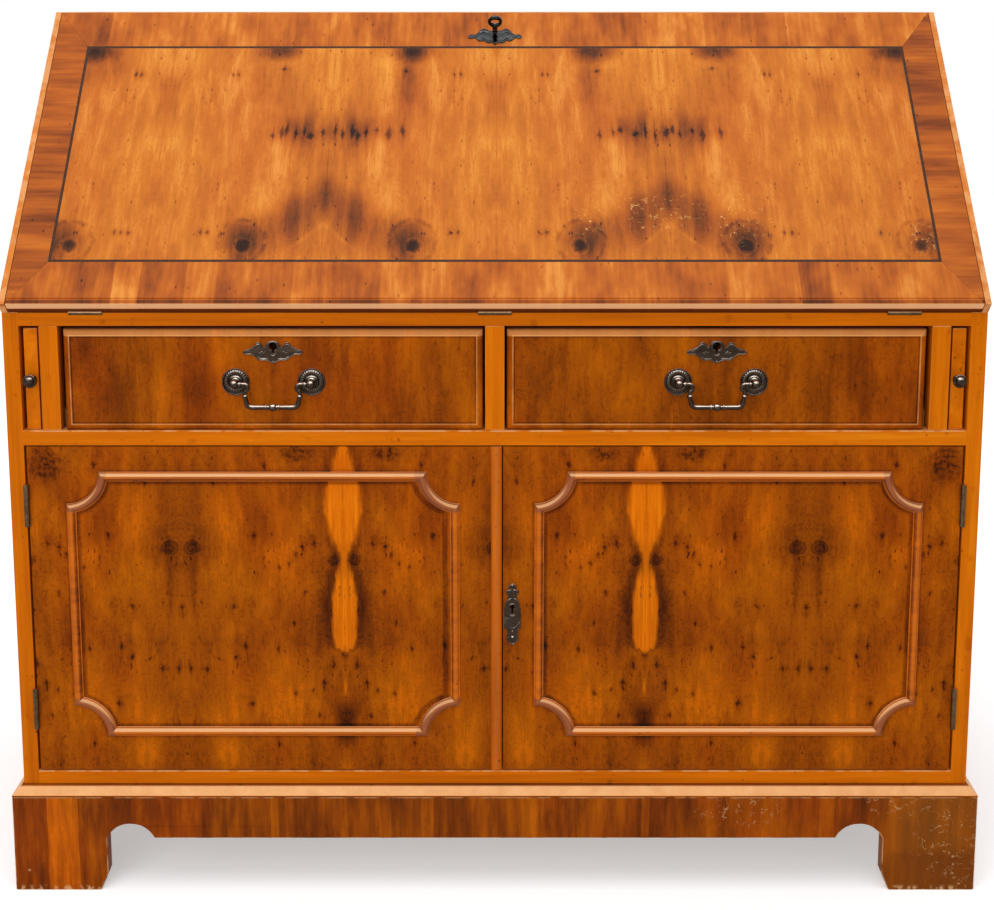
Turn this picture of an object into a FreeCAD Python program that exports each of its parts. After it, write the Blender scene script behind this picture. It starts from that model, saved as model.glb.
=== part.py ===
import FreeCAD, Part
import math
import os

from FreeCAD import Vector

# Slant-front writing bureau in millimetres, +Z up, front towards -Y.
# While it is modelled, y = 0 is the front plane of the case and z = 0 the floor.

# Case boards
CASE_WIDTH = 1120.0
CASE_DEPTH = 480.0
CASE_HEIGHT = 1035.0
SIDE_THICKNESS = 18.0
TOP_THICKNESS = 18.0
TOP_DEPTH = 186.5
TOP_ARRIS = 3.0
BACK_THICKNESS = 6.0
BACK_INSET = 2.0
BACK_REBATE = 9.0
BACK_FIT = 0.5
RAIL_DEPTH = 50.0
DUST_BOARD = 12.0
FLOOR_BOARD = 16.0

# Levels of the front, from the floor up
PLINTH_HEIGHT = 118.0
MOULDING_HEIGHT = 12.0
BOTTOM_RAIL_SHOW = 16.0
DOOR_OPENING = 398.0
MID_RAIL = 17.5
DRAWER_OPENING = 122.5
TOP_RAIL = 15.0

# Plinth
PLINTH_OUT = 12.0
PLINTH_BOARD = 20.0
APRON_BOTTOM = 66.0
FOOT_WIDTH = 111.0
FOOT_CHAMFER_RUN = 9.0
FOOT_CHAMFER_RISE = 22.0
ARCH_WIDTH = 56.0
ARCH_RISE = 18.0
FOOT_BLOCK = 36.0
FOOT_BLOCK_LIFT = 3.0
MOULDING_FOOT = 2.0
MOULDING_LAND = 1.5

# Fall
FALL_THICKNESS = 18.0
FALL_SIT = 0.4
FALL_FOOT_GAP = 0.5
FALL_TOP_GAP = 1.0
FALL_SIDE_GAP = 0.8
SIDE_STRIP = 7.0
NOSE_BEAD = 3.2
QUIRK_WIDTH = 2.0
QUIRK_DEPTH = 1.2
BAND_SIDE = 40.0
BAND_END = 57.0
STRING_WIDTH = 3.4
STRING_DEPTH = 1.0
LEATHER_MARGIN = 68.0
LEATHER_THICKNESS = 1.2
LEATHER_FIT = 0.3

# Fall lock and key
FALL_KEY_DROP = 42.0
FALL_LOCK_WIDTH = 60.0
FALL_LOCK_HEIGHT = 60.0
FALL_LOCK_DEPTH = 10.0
LOCK_FIT = 0.2
BOLT_WIDTH = 20.0
BOLT_THICKNESS = 5.0
BOLT_LENGTH = 30.0
BOLT_FIT = 0.3
BOLT_THROW = 7.0
BOLT_SETBACK = 0.5
KEYHOLE_RADIUS = 3.0
KEYHOLE_SLOT = 2.6
KEYHOLE_DROP = 9.0
KEY_SHANK = 2.4
KEY_STAND = 22.0
KEY_BIT_REACH = 6.5
KEY_BIT_WIDTH = 4.0
KEY_BIT_THICKNESS = 2.0
KEY_BOW = 8.2
KEY_BOW_HOLE = 4.2
KEY_BOW_THICKNESS = 3.0

# Hinges
LEAF_THICKNESS = 1.2
PIN_FIT = 0.04
BARREL_GAP = 0.15
BARREL_RELIEF = 0.35
FALL_HINGE_LENGTH = 38.0
FALL_HINGE_INSET = 95.0
FALL_BARREL = 2.4
FALL_PIN = 1.1
FALL_LEAF = 24.0
DOOR_HINGE_LENGTH = 50.0
DOOR_HINGE_TOP = 71.0
DOOR_HINGE_BOTTOM = 79.0
DOOR_BARREL = 3.0
DOOR_BARREL_STAND = 0.3
DOOR_PIN = 1.4
DOOR_LEAF = 16.0
SCREW_HEAD = 2.6
SCREW_SHANK = 1.3
SCREW_LENGTH = 9.0
SCREW_ALONG = 1 / 3
FALL_SCREW_ACROSS = 2 / 3
DOOR_SCREW_ACROSS = 0.6

# Lopers
LOPER_THICKNESS = 15.4
LOPER_SPACER = 4.0
LOPER_SPACER_SETBACK = 40.0
LOPER_FIT = 0.4
LOPER_SLACK = 3.2
LOPER_SETBACK = 4.0
LOPER_LENGTH = 420.0
LOPER_UNDER_FALL = 0.3
LOPER_STILE = 21.0
LOPER_PARTITION = 12.0
STILE_DEPTH = 22.0
CENTRE_STILE = 22.0
LOPER_KNOB = 8.0
LOPER_KNOB_NECK = 3.4
LOPER_KNOB_LENGTH = 16.0
LOPER_KNOB_BASE = 0.7
LOPER_KNOB_EDGE = 0.92
RUN_FIT = 0.3

# Drawers
DRAWER_INNER_GAP = 2.6
DRAWER_OUTER_GAP = 5.6
DRAWER_GUIDE_FIT = 1.6
DRAWER_TOP_GAP = 4.5
DRAWER_FIELD_SETBACK = 1.5
DRAWER_PLATE_SETBACK = 7.3
DRAWER_FRONT_BACK = 22.0
DRAWER_EDGE = 8.0
DRAWER_CREST = 1.8
DRAWER_CREST_PROUD = 1.2
DRAWER_SIDE = 10.0
DRAWER_SIDE_HEIGHT = 100.0
DRAWER_BOX_LENGTH = 405.0
DRAWER_BOTTOM = 5.0
DRAWER_BOTTOM_LIFT = 8.5
GUIDE_HEIGHT = 20.0
STOP_LENGTH = 15.0
STOP_WIDTH = 40.0
STOP_HEIGHT = 5.0
DRAWER_LOCK_WIDTH = 50.0
DRAWER_LOCK_HEIGHT = 40.0
DRAWER_LOCK_DEPTH = 9.0
DRAWER_KEY_DROP = 19.5
DRAWER_KEYHOLE = 4.8

# Drawer handles
HANDLE_CENTRES = 87.0
HANDLE_DROP = 61.0
ROSETTE_RADIUS = 16.0
ROSETTE_HEIGHT = 3.2
POST_NECK = 3.4
POST_BALL = 5.2
BAIL_STAND = 13.5
BAIL_ROD = 2.7
BAIL_PIN = 1.7
BAIL_PIN_LENGTH = 4.0
BAIL_PIN_FIT = 0.06
BAIL_CURL_INSET = 11.5
BAIL_CURL = 4.2
BAIL_CURL_TURN = 150.0
BAIL_NECK = 4.0
BAIL_LEG_LEAN = 11.5
BAIL_DEPTH = 28.0
BAIL_CORNER = 6.0
BAIL_BEAD = 4.0
BAIL_BEAD_LENGTH = 7.0
BAIL_RING = 3.5
BAIL_RING_LENGTH = 2.4
BAIL_RING_OFFSET = 6.5

# Escutcheons
PLATE_THICKNESS = 1.4
DRAWER_PLATE_WIDTH = 69.0
DRAWER_PLATE_HEIGHT = 26.0
DRAWER_PLATE_DROP = 6.5
FALL_PLATE_WIDTH = 68.0
FALL_PLATE_HEIGHT = 27.0
DOOR_PLATE_WIDTH = 20.0
DOOR_PLATE_HEIGHT = 75.0
DOOR_PLATE_DROP = 8.5

# Doors
DOOR_THICKNESS = 18.0
DOOR_SETBACK = 0.3
DOOR_GAP = 1.5
HINGE_GAP = 2.7
MEETING_GAP = 1.3
ASTRAGAL_WIDTH = 12.7
ASTRAGAL_LEFT = 4.5
ASTRAGAL_PROUD = 4.5
MOULD_WIDTH = 11.0
MOULD_PROUD = 6.2
MOULD_STEP = 1.8
MOULD_LEDGE = 1.4
MOULD_HINGE_MARGIN = 44.0
MOULD_MEET_MARGIN = 36.5
MOULD_TOP_MARGIN = 30.0
MOULD_BOTTOM_MARGIN = 43.0
MOULD_HOLLOW = 38.0
DOOR_STOP = 14.0
DOOR_STOP_LENGTH = 40.0
DOOR_STOP_INSET = 120.0
DOOR_KEY_HEIGHT = 203.5
DOOR_LOCK_WIDTH = 46.0
DOOR_LOCK_HEIGHT = 56.0
DOOR_LOCK_DEPTH = 10.0
DOOR_KEY_BACKSET = 11.0
DOOR_BOLT_HEIGHT = 16.0
DOOR_BOLT_LENGTH = 30.0
DOOR_BOLT_THROW = 8.0
FLUSH_BOLT = 4.0
FLUSH_BOLT_LENGTH = 70.0
FLUSH_BOLT_THROW = 10.0
FLUSH_BOLT_INSET = 40.0
FLUSH_PLATE_WIDTH = 18.0
FLUSH_PLATE_LENGTH = 50.0
FLUSH_PLATE_DEPTH = 12.0

# Cupboard shelf
SHELF_THICKNESS = 16.0
SHELF_HEIGHT = 190.0
SHELF_SETBACK = 45.0
SHELF_FIT = 0.5
SHELF_PIN = 3.0
SHELF_PIN_IN = 9.0
SHELF_PIN_OUT = 10.0
SHELF_PIN_INSET = 60.0

# Stationery fitment
RACK_BOARD = 8.0
RACK_SETBACK = 4.0
RACK_ROW_SHARE = 0.2075
RACK_CENTRE_WIDTH = 360.0
RACK_CENTRE_SHARE = 0.445
RACK_HOLES = 3
TRAY_GAP = 0.8
TRAY_BOARD = 7.0
TRAY_BOTTOM = 4.0
TRAY_KNOB = 5.0
TRAY_KNOB_NECK = 2.2
TRAY_KNOB_LENGTH = 14.0
TRAY_KNOB_BASE = 0.8

# How far a cutter runs past the face it opens
PAST = 1.0

# Places worked out from the sizes above
HALF = CASE_WIDTH / 2
INNER = HALF - SIDE_THICKNESS
Z_RAIL = PLINTH_HEIGHT + MOULDING_HEIGHT
Z_DOOR = Z_RAIL + BOTTOM_RAIL_SHOW
Z_MID = Z_DOOR + DOOR_OPENING
Z_ROW = Z_MID + MID_RAIL
Z_ROW_TOP = Z_ROW + DRAWER_OPENING
Z_BED = Z_ROW_TOP + TOP_RAIL
Z_TOP = CASE_HEIGHT - TOP_THICKNESS
Y_BACK = CASE_DEPTH - BACK_INSET - BACK_THICKNESS
FALL_FACE = FALL_SIT + FALL_THICKNESS
SLOPE_RISE = CASE_HEIGHT - Z_BED
SLOPE_RUN = CASE_DEPTH - TOP_DEPTH
SLOPE_LENGTH = math.sqrt(SLOPE_RISE ** 2 + SLOPE_RUN ** 2 - FALL_FACE ** 2)
FALL_ANGLE = math.atan2(SLOPE_RISE, SLOPE_RUN) - math.atan2(FALL_FACE, SLOPE_LENGTH)
FALL_SLOPE = math.degrees(FALL_ANGLE)
COS = math.cos(FALL_ANGLE)
SIN = math.sin(FALL_ANGLE)
FALL_LENGTH = SLOPE_LENGTH - FALL_TOP_GAP
FALL_HALF = HALF - SIDE_STRIP - FALL_SIDE_GAP
FALL_HINGES = (FALL_HINGE_INSET - HALF, 0.0, HALF - FALL_HINGE_INSET)
KEY_S = FALL_LENGTH - FALL_KEY_DROP
LOPER_OUT = INNER - LOPER_SPACER - LOPER_FIT
LOPER_IN = LOPER_OUT - LOPER_THICKNESS
SLOT_IN = LOPER_IN - LOPER_SLACK
ROW_OUT = SLOT_IN - LOPER_STILE
ROW_IN = CENTRE_STILE / 2
LOPER_TOP = Z_BED - FALL_FACE - LOPER_UNDER_FALL
DRAWER_X = (ROW_IN + DRAWER_INNER_GAP, ROW_OUT - DRAWER_OUTER_GAP)
DRAWER_Z = (Z_ROW + RUN_FIT, Z_ROW_TOP - DRAWER_TOP_GAP)
DRAWER_MID = sum(DRAWER_X) / 2
HANDLE_Z = DRAWER_Z[1] - HANDLE_DROP
BAIL_Y = DRAWER_FIELD_SETBACK - BAIL_STAND
HANDLE_REACH = POST_BALL - BAIL_Y
DOOR_Z = (Z_DOOR + DOOR_GAP, Z_MID - DOOR_GAP)
DOOR_Y = (DOOR_SETBACK, DOOR_SETBACK + DOOR_THICKNESS)
DOOR_HINGE_X = INNER - HINGE_GAP
MEET_LEFT = ASTRAGAL_WIDTH - ASTRAGAL_LEFT
MEET_RIGHT = MEET_LEFT + MEETING_GAP
HINGE_AXIS = (INNER - HINGE_GAP / 2, -DOOR_BARREL - DOOR_BARREL_STAND)
HINGE_LEVELS = (Z_DOOR + DOOR_HINGE_BOTTOM, Z_MID - DOOR_HINGE_TOP)
DOOR_KEY_X = MEET_RIGHT + DOOR_KEY_BACKSET
DOOR_KEY_Z = Z_DOOR + DOOR_KEY_HEIGHT
RACK_FRONT = (Z_TOP - Z_BED) / math.tan(FALL_ANGLE) + RACK_SETBACK + FALL_THICKNESS / 2
RACK_SHELF_Z = Z_BED + RACK_BOARD + RACK_ROW_SHARE * (Z_TOP - Z_BED)
ORIGIN_Y = (CASE_DEPTH - HANDLE_REACH) / 2
AXIS_X = Vector(1, 0, 0)
AXIS_Y = Vector(0, 1, 0)
AXIS_Z = Vector(0, 0, 1)
pieces = {}


def keep(name, *shapes):
    """Store the solids of one node."""
    pieces[name] = list(shapes)


def block(x, y, z):
    """Board between the two ends given for each axis."""
    return Part.makeBox(x[1] - x[0], y[1] - y[0], z[1] - z[0], Vector(x[0], y[0], z[0]))


def rod(start, end, radius):
    """Round bar between two points."""
    way = end - start
    return Part.makeCylinder(radius, way.Length, start, way)


def polygon(points):
    """Closed flat face through corner points."""
    return Part.Face(Part.makePolygon(list(points) + [points[0]]))


def along_x(profile, x):
    """Profile of (y, z) corners drawn out between two x values."""
    return polygon([Vector(x[0], y, z) for y, z in profile]).extrude(Vector(x[1] - x[0], 0, 0))


def along_z(profile, z):
    """Plan of (x, y) corners raised between two z values."""
    return polygon([Vector(px, py, z[0]) for px, py in profile]).extrude(Vector(0, 0, z[1] - z[0]))


def cut(shape, *tools):
    """Shape with tools taken out of it."""
    return shape.cut(list(tools)).removeSplitter() if tools else shape


def join(shape, *others):
    """One solid from touching shapes."""
    return shape.fuse(list(others)).removeSplitter()


def mirrored(shape):
    """The same shape on the other side of the middle plane."""
    return shape.mirror(Vector(0, 0, 0), AXIS_X)


def lean(shape):
    """Shape modelled flat (y up the slope, z off its face) set on the slope at the hinge line."""
    leaning = shape.copy()
    leaning.rotate(Vector(0, 0, 0), AXIS_X, FALL_SLOPE)
    leaning.translate(Vector(0, 0, Z_BED))
    return leaning


def slope_point(up, off):
    """(y, z) of a point on the slope, from its distance up the slope and off the hinge plane."""
    return up * COS - off * SIN, Z_BED + up * SIN + off * COS


def turned(profile, base, axis):
    """Solid of revolution about an axis.

    The profile lists (radius, height) ends with the middle of each arc, or None for a straight run, between.
    """
    edges = []
    for start, middle, end in zip(profile[0::2], profile[1::2], profile[2::2]):
        points = [Vector(r, 0, h) for r, h in (start, end)]
        if middle is None:
            edges.append(Part.LineSegment(*points).toShape())
        else:
            edges.append(Part.Arc(points[0], Vector(middle[0], 0, middle[1]), points[1]).toShape())
    ends = [Vector(r, 0, h) for r, h in (profile[-1], profile[0])]
    edges.append(Part.LineSegment(*ends).toShape())
    shape = Part.Face(Part.Wire(edges)).revolve(Vector(0, 0, 0), AXIS_Z, 360)
    shape.rotate(Vector(0, 0, 0), AXIS_Z.cross(axis), math.degrees(AXIS_Z.getAngle(axis)))
    shape.translate(base)
    return shape


def cap_middle(radius, low, high):
    """Point halfway along a round cap that rises from a rim to the axis, its centre on the axis."""
    centre = (high ** 2 - low ** 2 - radius ** 2) / (2 * (high - low))
    half = math.atan2(radius, low - centre) / 2
    return (high - centre) * math.sin(half), centre + (high - centre) * math.cos(half)


def screw(head, way):
    """Countersunk screw; its head lies flush at the given point and it runs along way."""
    cone = Part.makeCone(SCREW_HEAD, SCREW_SHANK, LEAF_THICKNESS, head, way)
    shank = Part.makeCylinder(SCREW_SHANK, SCREW_LENGTH, head, way)
    return join(shank, cone)


def keyhole(centre, inward, down, depth, radius=KEYHOLE_RADIUS):
    """Keyhole cutter: a round hole with a slot below it."""
    hole = Part.makeCylinder(radius, depth, centre, inward)
    across = inward.cross(down) * (KEYHOLE_SLOT / 2)
    corners = [centre - across, centre + across, centre + across + down * KEYHOLE_DROP]
    corners.append(centre - across + down * KEYHOLE_DROP)
    return join(hole, polygon(corners).extrude(inward * depth))


def scrolled_plate(width, height):
    """Bat-wing plate about its middle in the (x, z) plane, its back on y = 0 and its face towards -y."""
    w, h = width / 2, height / 2
    half = [
        ((0.0, 1.00), (0.17, 0.90), (0.25, 0.62)),
        ((0.25, 0.62), (0.34, 0.60), (0.46, 0.86)),
        ((0.46, 0.86), (0.66, 0.42), (1.00, 0.06)),
        ((1.00, 0.06), (0.90, -0.14), (0.78, -0.06)),
        ((0.78, -0.06), (0.50, -0.52), (0.22, -0.74)),
        ((0.22, -0.74), (0.10, -0.90), (0.0, -1.00)),
    ]
    edges = []
    for run in half:
        for flip in (1, -1):
            edges.append(Part.Arc(*[Vector(flip * px * w, 0, pz * h) for px, pz in run]).toShape())
    outline = Part.Wire(Part.__sortEdges__(edges))
    return Part.Face(outline).extrude(Vector(0, -PLATE_THICKNESS, 0))


def mitred_strip(section, start, end, inner, front):
    """Straight moulding with mitred ends.

    The section has x inwards from the outer edge and y off the ground; front is the y of the ground.
    """
    run = (end - start).normalize()
    width = section.BoundBox.XMax
    strip = section.copy()
    matrix = FreeCAD.Matrix()
    matrix.A11, matrix.A21, matrix.A31 = inner.x, inner.y, inner.z
    matrix.A12, matrix.A22, matrix.A32 = 0.0, -1.0, 0.0
    matrix.A13, matrix.A23, matrix.A33 = run.x, run.y, run.z
    matrix.A14, matrix.A24, matrix.A34 = start.x, front, start.z
    strip = strip.transformGeometry(matrix).extrude(end - start)
    plan = [start, end, end - run * width + inner * width, start + run * width + inner * width]
    lift = section.BoundBox.YMax + 2 * PAST
    trim = polygon([Vector(p.x, front + PAST, p.z) for p in plan]).extrude(Vector(0, -lift, 0))
    return strip.common(trim)


def make_sides():
    """Side boards with the slope, the rebate for the fall and the rebate for the back."""
    nose = slope_point(0, FALL_FACE)
    peak = slope_point(SLOPE_LENGTH, FALL_FACE)
    under = slope_point(SLOPE_LENGTH, (Z_TOP - Z_BED - SLOPE_LENGTH * SIN) / COS)
    profile = [(0, PLINTH_HEIGHT), (0, Z_BED), nose, peak, under]
    profile += [(CASE_DEPTH, Z_TOP), (CASE_DEPTH, PLINTH_HEIGHT)]
    side = along_x(profile, (-HALF, -INNER))
    shoulder = (-HALF + SIDE_STRIP, -INNER + PAST)
    slope_run = (-FALL_THICKNESS, SLOPE_LENGTH + FALL_THICKNESS)
    fall_rebate = lean(block(shoulder, slope_run, (0, 2 * FALL_FACE)))
    rebate_x = (-INNER - BACK_REBATE, -INNER + PAST)
    back_rebate = block(rebate_x, (Y_BACK, CASE_DEPTH + PAST), (PLINTH_HEIGHT - PAST, Z_TOP + PAST))
    side = cut(side, fall_rebate, back_rebate)
    holes = shelf_pins(-1) + door_screws(frame=True)
    keep("side_left", cut(side, *holes))
    keep("side_right", mirrored(cut(side, *holes)))


def make_top():
    """Top board; its front edge is square to the slope and carries the strike of the fall lock."""
    peak = slope_point(SLOPE_LENGTH, FALL_FACE)
    under = slope_point(SLOPE_LENGTH, (Z_TOP - Z_BED - SLOPE_LENGTH * SIN) / COS)
    board = along_x([peak, (CASE_DEPTH, CASE_HEIGHT), (CASE_DEPTH, Z_TOP), under], (-HALF, HALF))
    upper = [edge for edge in board.Edges if edge.BoundBox.ZMin > CASE_HEIGHT - TOP_ARRIS]
    arris = [edge for edge in upper if edge.BoundBox.YMin < CASE_DEPTH - TOP_ARRIS]
    board = board.makeFillet(TOP_ARRIS, arris)
    keep("top_board", cut(board, lean(fall_bolt_block(BOLT_FIT, BOLT_THROW))))


def make_back():
    """Back panel let into the rebates of the sides."""
    reach = INNER + BACK_REBATE - BACK_FIT
    panel = block((-reach, reach), (Y_BACK, Y_BACK + BACK_THICKNESS), (PLINTH_HEIGHT, Z_TOP))
    keep("back_panel", panel)


def make_rails():
    """Rails across the front, with the boards behind them."""
    width = (-INNER, INNER)
    behind = (RAIL_DEPTH, Y_BACK)
    top_rail = block(width, (0, RAIL_DEPTH), (Z_ROW_TOP, Z_BED))
    for middle in FALL_HINGES:
        top_rail = cut(top_rail, *fall_hinge_seats(middle))
    keep("top_rail", top_rail)
    keep("writing_bed", block(width, behind, (Z_ROW_TOP, Z_BED)))
    bolt_hole = flush_bolt_rod(RUN_FIT, FLUSH_BOLT_THROW + PAST)
    mid_rail = cut(block(width, (0, RAIL_DEPTH), (Z_MID, Z_ROW)), bolt_hole)
    keep("lower_rails", mid_rail, block(width, (0, RAIL_DEPTH), (PLINTH_HEIGHT, Z_DOOR)))
    keep("dust_board", block(width, behind, (Z_ROW - DUST_BOARD, Z_ROW)))
    keep("cupboard_floor", block(width, behind, (Z_DOOR - FLOOR_BOARD, Z_DOOR)))


def make_drawer_row():
    """Stiles, partitions, guides and stops between the rails."""
    level = (Z_ROW, Z_ROW_TOP)
    behind = (STILE_DEPTH, Y_BACK)
    stile = block((ROW_OUT, SLOT_IN), (0, STILE_DEPTH), level)
    partition = block((SLOT_IN - LOPER_PARTITION, SLOT_IN), behind, level)
    guide_x = (DRAWER_X[1] + DRAWER_GUIDE_FIT, SLOT_IN - LOPER_PARTITION)
    guide = block(guide_x, behind, (Z_ROW, Z_ROW + GUIDE_HEIGHT))
    spacer = block((INNER - LOPER_SPACER, INNER), (LOPER_SPACER_SETBACK, Y_BACK), level)
    stop_y = (DRAWER_FRONT_BACK + RUN_FIT, DRAWER_FRONT_BACK + RUN_FIT + STOP_LENGTH)
    stop_x = (DRAWER_MID - STOP_WIDTH / 2, DRAWER_MID + STOP_WIDTH / 2)
    stop = block(stop_x, stop_y, (Z_ROW, Z_ROW + STOP_HEIGHT))
    centre = (-ROW_IN, ROW_IN)
    keep("drawer_row_stiles", mirrored(stile), stile, block(centre, (0, STILE_DEPTH), level))
    keep("drawer_row_partitions", mirrored(partition), partition, block(centre, behind, level))
    right = [guide, spacer, stop]
    keep("runner_guides", *right, *[mirrored(piece) for piece in right])


def shelf_pins(side):
    """Shelf pins of one side."""
    pins = []
    level = Z_DOOR + SHELF_HEIGHT - SHELF_PIN
    for y in (SHELF_SETBACK + SHELF_PIN_INSET, Y_BACK - SHELF_PIN_INSET):
        start = Vector(side * (INNER + SHELF_PIN_IN), y, level)
        pins.append(rod(start, Vector(side * (INNER - SHELF_PIN_OUT), y, level), SHELF_PIN))
    return pins


def make_shelf():
    """Cupboard shelf on its pins."""
    level = Z_DOOR + SHELF_HEIGHT
    reach = INNER - SHELF_FIT
    depth = (SHELF_SETBACK, Y_BACK - SHELF_FIT)
    keep("cupboard_shelf", block((-reach, reach), depth, (level, level + SHELF_THICKNESS)))
    keep("shelf_pins", *shelf_pins(-1), *shelf_pins(1))


def bracket_outline(start, end):
    """Face of a plinth board in the (x, z) plane: a foot at each end and an apron between."""
    corners = []
    for edge, inward in ((start, 1), (end, -1)):
        foot = edge + inward * FOOT_WIDTH
        spring = foot + inward * ARCH_WIDTH
        crown = (foot + spring) / 2
        toe = foot - inward * FOOT_CHAMFER_RUN
        corners.append([edge, toe, foot, crown, spring])
    edges = []
    for edge, toe, foot, crown, spring in corners:
        path = [(edge, PLINTH_HEIGHT), (edge, 0), (toe, 0), (foot, FOOT_CHAMFER_RISE), (foot, APRON_BOTTOM)]
        points = [Vector(x, 0, z) for x, z in path]
        for a, b in zip(points, points[1:]):
            edges.append(Part.LineSegment(a, b).toShape())
        arch = [(foot, APRON_BOTTOM), (crown, APRON_BOTTOM + ARCH_RISE), (spring, APRON_BOTTOM)]
        edges.append(Part.Arc(*[Vector(x, 0, z) for x, z in arch]).toShape())
    left, right = corners[0][-1], corners[1][-1]
    edges.append(Part.LineSegment(Vector(left, 0, APRON_BOTTOM), Vector(right, 0, APRON_BOTTOM)).toShape())
    edges.append(Part.LineSegment(Vector(start, 0, PLINTH_HEIGHT), Vector(end, 0, PLINTH_HEIGHT)).toShape())
    return Part.Face(Part.Wire(Part.__sortEdges__(edges)))


def make_plinth():
    """Plinth boards with bracket feet, mitred at the front, their moulding and corner blocks."""
    out = HALF + PLINTH_OUT
    inside = out - PLINTH_BOARD
    front_in = PLINTH_BOARD - PLINTH_OUT
    level = (-PAST, PLINTH_HEIGHT + PAST)
    front = bracket_outline(-out, out).extrude(AXIS_Y * PLINTH_BOARD)
    front.translate(Vector(0, -PLINTH_OUT, 0))
    front_plan = [(-out, -PLINTH_OUT), (out, -PLINTH_OUT), (inside, front_in), (-inside, front_in)]
    keep("plinth_front", front.common(along_z(front_plan, level)))
    side = bracket_outline(-PLINTH_OUT, CASE_DEPTH).extrude(AXIS_Y * -PLINTH_BOARD)
    side.rotate(Vector(0, 0, 0), AXIS_Z, 90)
    side.translate(Vector(inside, 0, 0))
    side_plan = [(out, -PLINTH_OUT), (out, CASE_DEPTH), (inside, CASE_DEPTH), (inside, front_in)]
    side = side.common(along_z(side_plan, level))
    rear_in = CASE_DEPTH - PLINTH_BOARD
    rear = block((-inside, inside), (rear_in, CASE_DEPTH), (APRON_BOTTOM, PLINTH_HEIGHT))
    keep("plinth_returns", mirrored(side), side, rear)
    blocks = []
    for y in ((front_in, front_in + FOOT_BLOCK), (rear_in - FOOT_BLOCK, rear_in)):
        block_right = block((inside - FOOT_BLOCK, inside), y, (FOOT_BLOCK_LIFT, PLINTH_HEIGHT))
        blocks += [mirrored(block_right), block_right]
    keep("foot_blocks", *blocks)
    make_plinth_moulding(out)


def make_plinth_moulding(out):
    """Bevelled moulding round the foot of the case, mitred at the front corners."""
    foot = PLINTH_HEIGHT + MOULDING_FOOT
    level = (PLINTH_HEIGHT - PAST, Z_RAIL + PAST)
    section = [(-PLINTH_OUT, PLINTH_HEIGHT), (-PLINTH_OUT, foot), (-MOULDING_LAND, Z_RAIL)]
    section += [(0, Z_RAIL), (0, PLINTH_HEIGHT)]
    front = along_x(section, (-out, out))
    front_plan = [(-out, -PLINTH_OUT), (out, -PLINTH_OUT), (HALF, 0), (-HALF, 0)]
    side = along_x(section, (-PLINTH_OUT, CASE_DEPTH))
    side.rotate(Vector(0, 0, 0), AXIS_Z, 90)
    side.translate(Vector(HALF, 0, 0))
    side_plan = [(out, -PLINTH_OUT), (out, CASE_DEPTH), (HALF, CASE_DEPTH), (HALF, 0)]
    side = side.common(along_z(side_plan, level))
    keep("plinth_moulding", front.common(along_z(front_plan, level)), side, mirrored(side))


def fall_barrel_thirds(middle):
    """The x ranges of the three knuckles of one fall hinge."""
    third = FALL_HINGE_LENGTH / 3
    ends = [middle + third * k for k in (-1.5, -0.5, 0.5, 1.5)]
    return list(zip(ends, ends[1:]))


def barrel_x(x, radius):
    """Bar along the hinge line of the fall."""
    return rod(Vector(x[0], 0, Z_BED), Vector(x[1], 0, Z_BED), radius)


def fall_leaf_plate(middle):
    """Leaf of a fall hinge lying on y >= 0 with its top at z = 0."""
    x = (middle - FALL_HINGE_LENGTH / 2, middle + FALL_HINGE_LENGTH / 2)
    return block(x, (0, FALL_LEAF), (-LEAF_THICKNESS, 0))


def fall_screw_places(middle):
    """(x, y) of the two screws in a fall hinge leaf."""
    offset = FALL_HINGE_LENGTH * SCREW_ALONG
    return [(middle + k * offset, FALL_LEAF * FALL_SCREW_ACROSS) for k in (-1, 1)]


def fall_hinge_seats(middle):
    """Cutters for the rail: seat of the bed leaf, room for the barrel and its screw holes."""
    leaf = fall_leaf_plate(middle)
    leaf.translate(Vector(0, 0, Z_BED))
    ends = (leaf.BoundBox.XMin - BARREL_GAP, leaf.BoundBox.XMax + BARREL_GAP)
    room = barrel_x(ends, FALL_BARREL + BARREL_RELIEF)
    return [leaf, room] + bed_screws(middle)


def bed_screws(middle):
    """Screws of one bed leaf."""
    return [screw(Vector(x, y, Z_BED), -AXIS_Z) for x, y in fall_screw_places(middle)]


def flap_screws(middle):
    """Screws of one fall leaf, in the flat position."""
    return [screw(Vector(x, y, FALL_SIT), AXIS_Z) for x, y in fall_screw_places(middle)]


def fall_hinge(middle):
    """Bed leaf, fall leaf, pin and screws of one hinge of the fall."""
    first, second, third = fall_barrel_thirds(middle)
    gap = BARREL_GAP / 2
    bore = barrel_x((first[0] - PAST, third[1] + PAST), FALL_PIN + PIN_FIT)
    clear = FALL_BARREL + BARREL_RELIEF
    bed = fall_leaf_plate(middle)
    bed.translate(Vector(0, 0, Z_BED))
    bed = cut(bed, barrel_x((second[0] - gap, second[1] + gap), clear))
    outer_ends = [(first[0], first[1] - gap), (third[0] + gap, third[1])]
    bed = join(bed, *[barrel_x(end, FALL_BARREL) for end in outer_ends])
    flap = fall_leaf_plate(middle)
    flap.translate(Vector(0, 0, LEAF_THICKNESS + FALL_SIT))
    flap = lean(flap)
    for end in (first, third):
        flap = cut(flap, barrel_x((end[0] - gap, end[1] + gap), clear))
    flap = join(flap, barrel_x((second[0] + gap, second[1] - gap), FALL_BARREL))
    pin = barrel_x((first[0], third[1]), FALL_PIN)
    flap_set = [lean(piece) for piece in flap_screws(middle)]
    bed_set = bed_screws(middle)
    return [cut(bed, bore, *bed_set)] + bed_set, [cut(flap, bore, *flap_set)] + flap_set, pin


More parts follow.
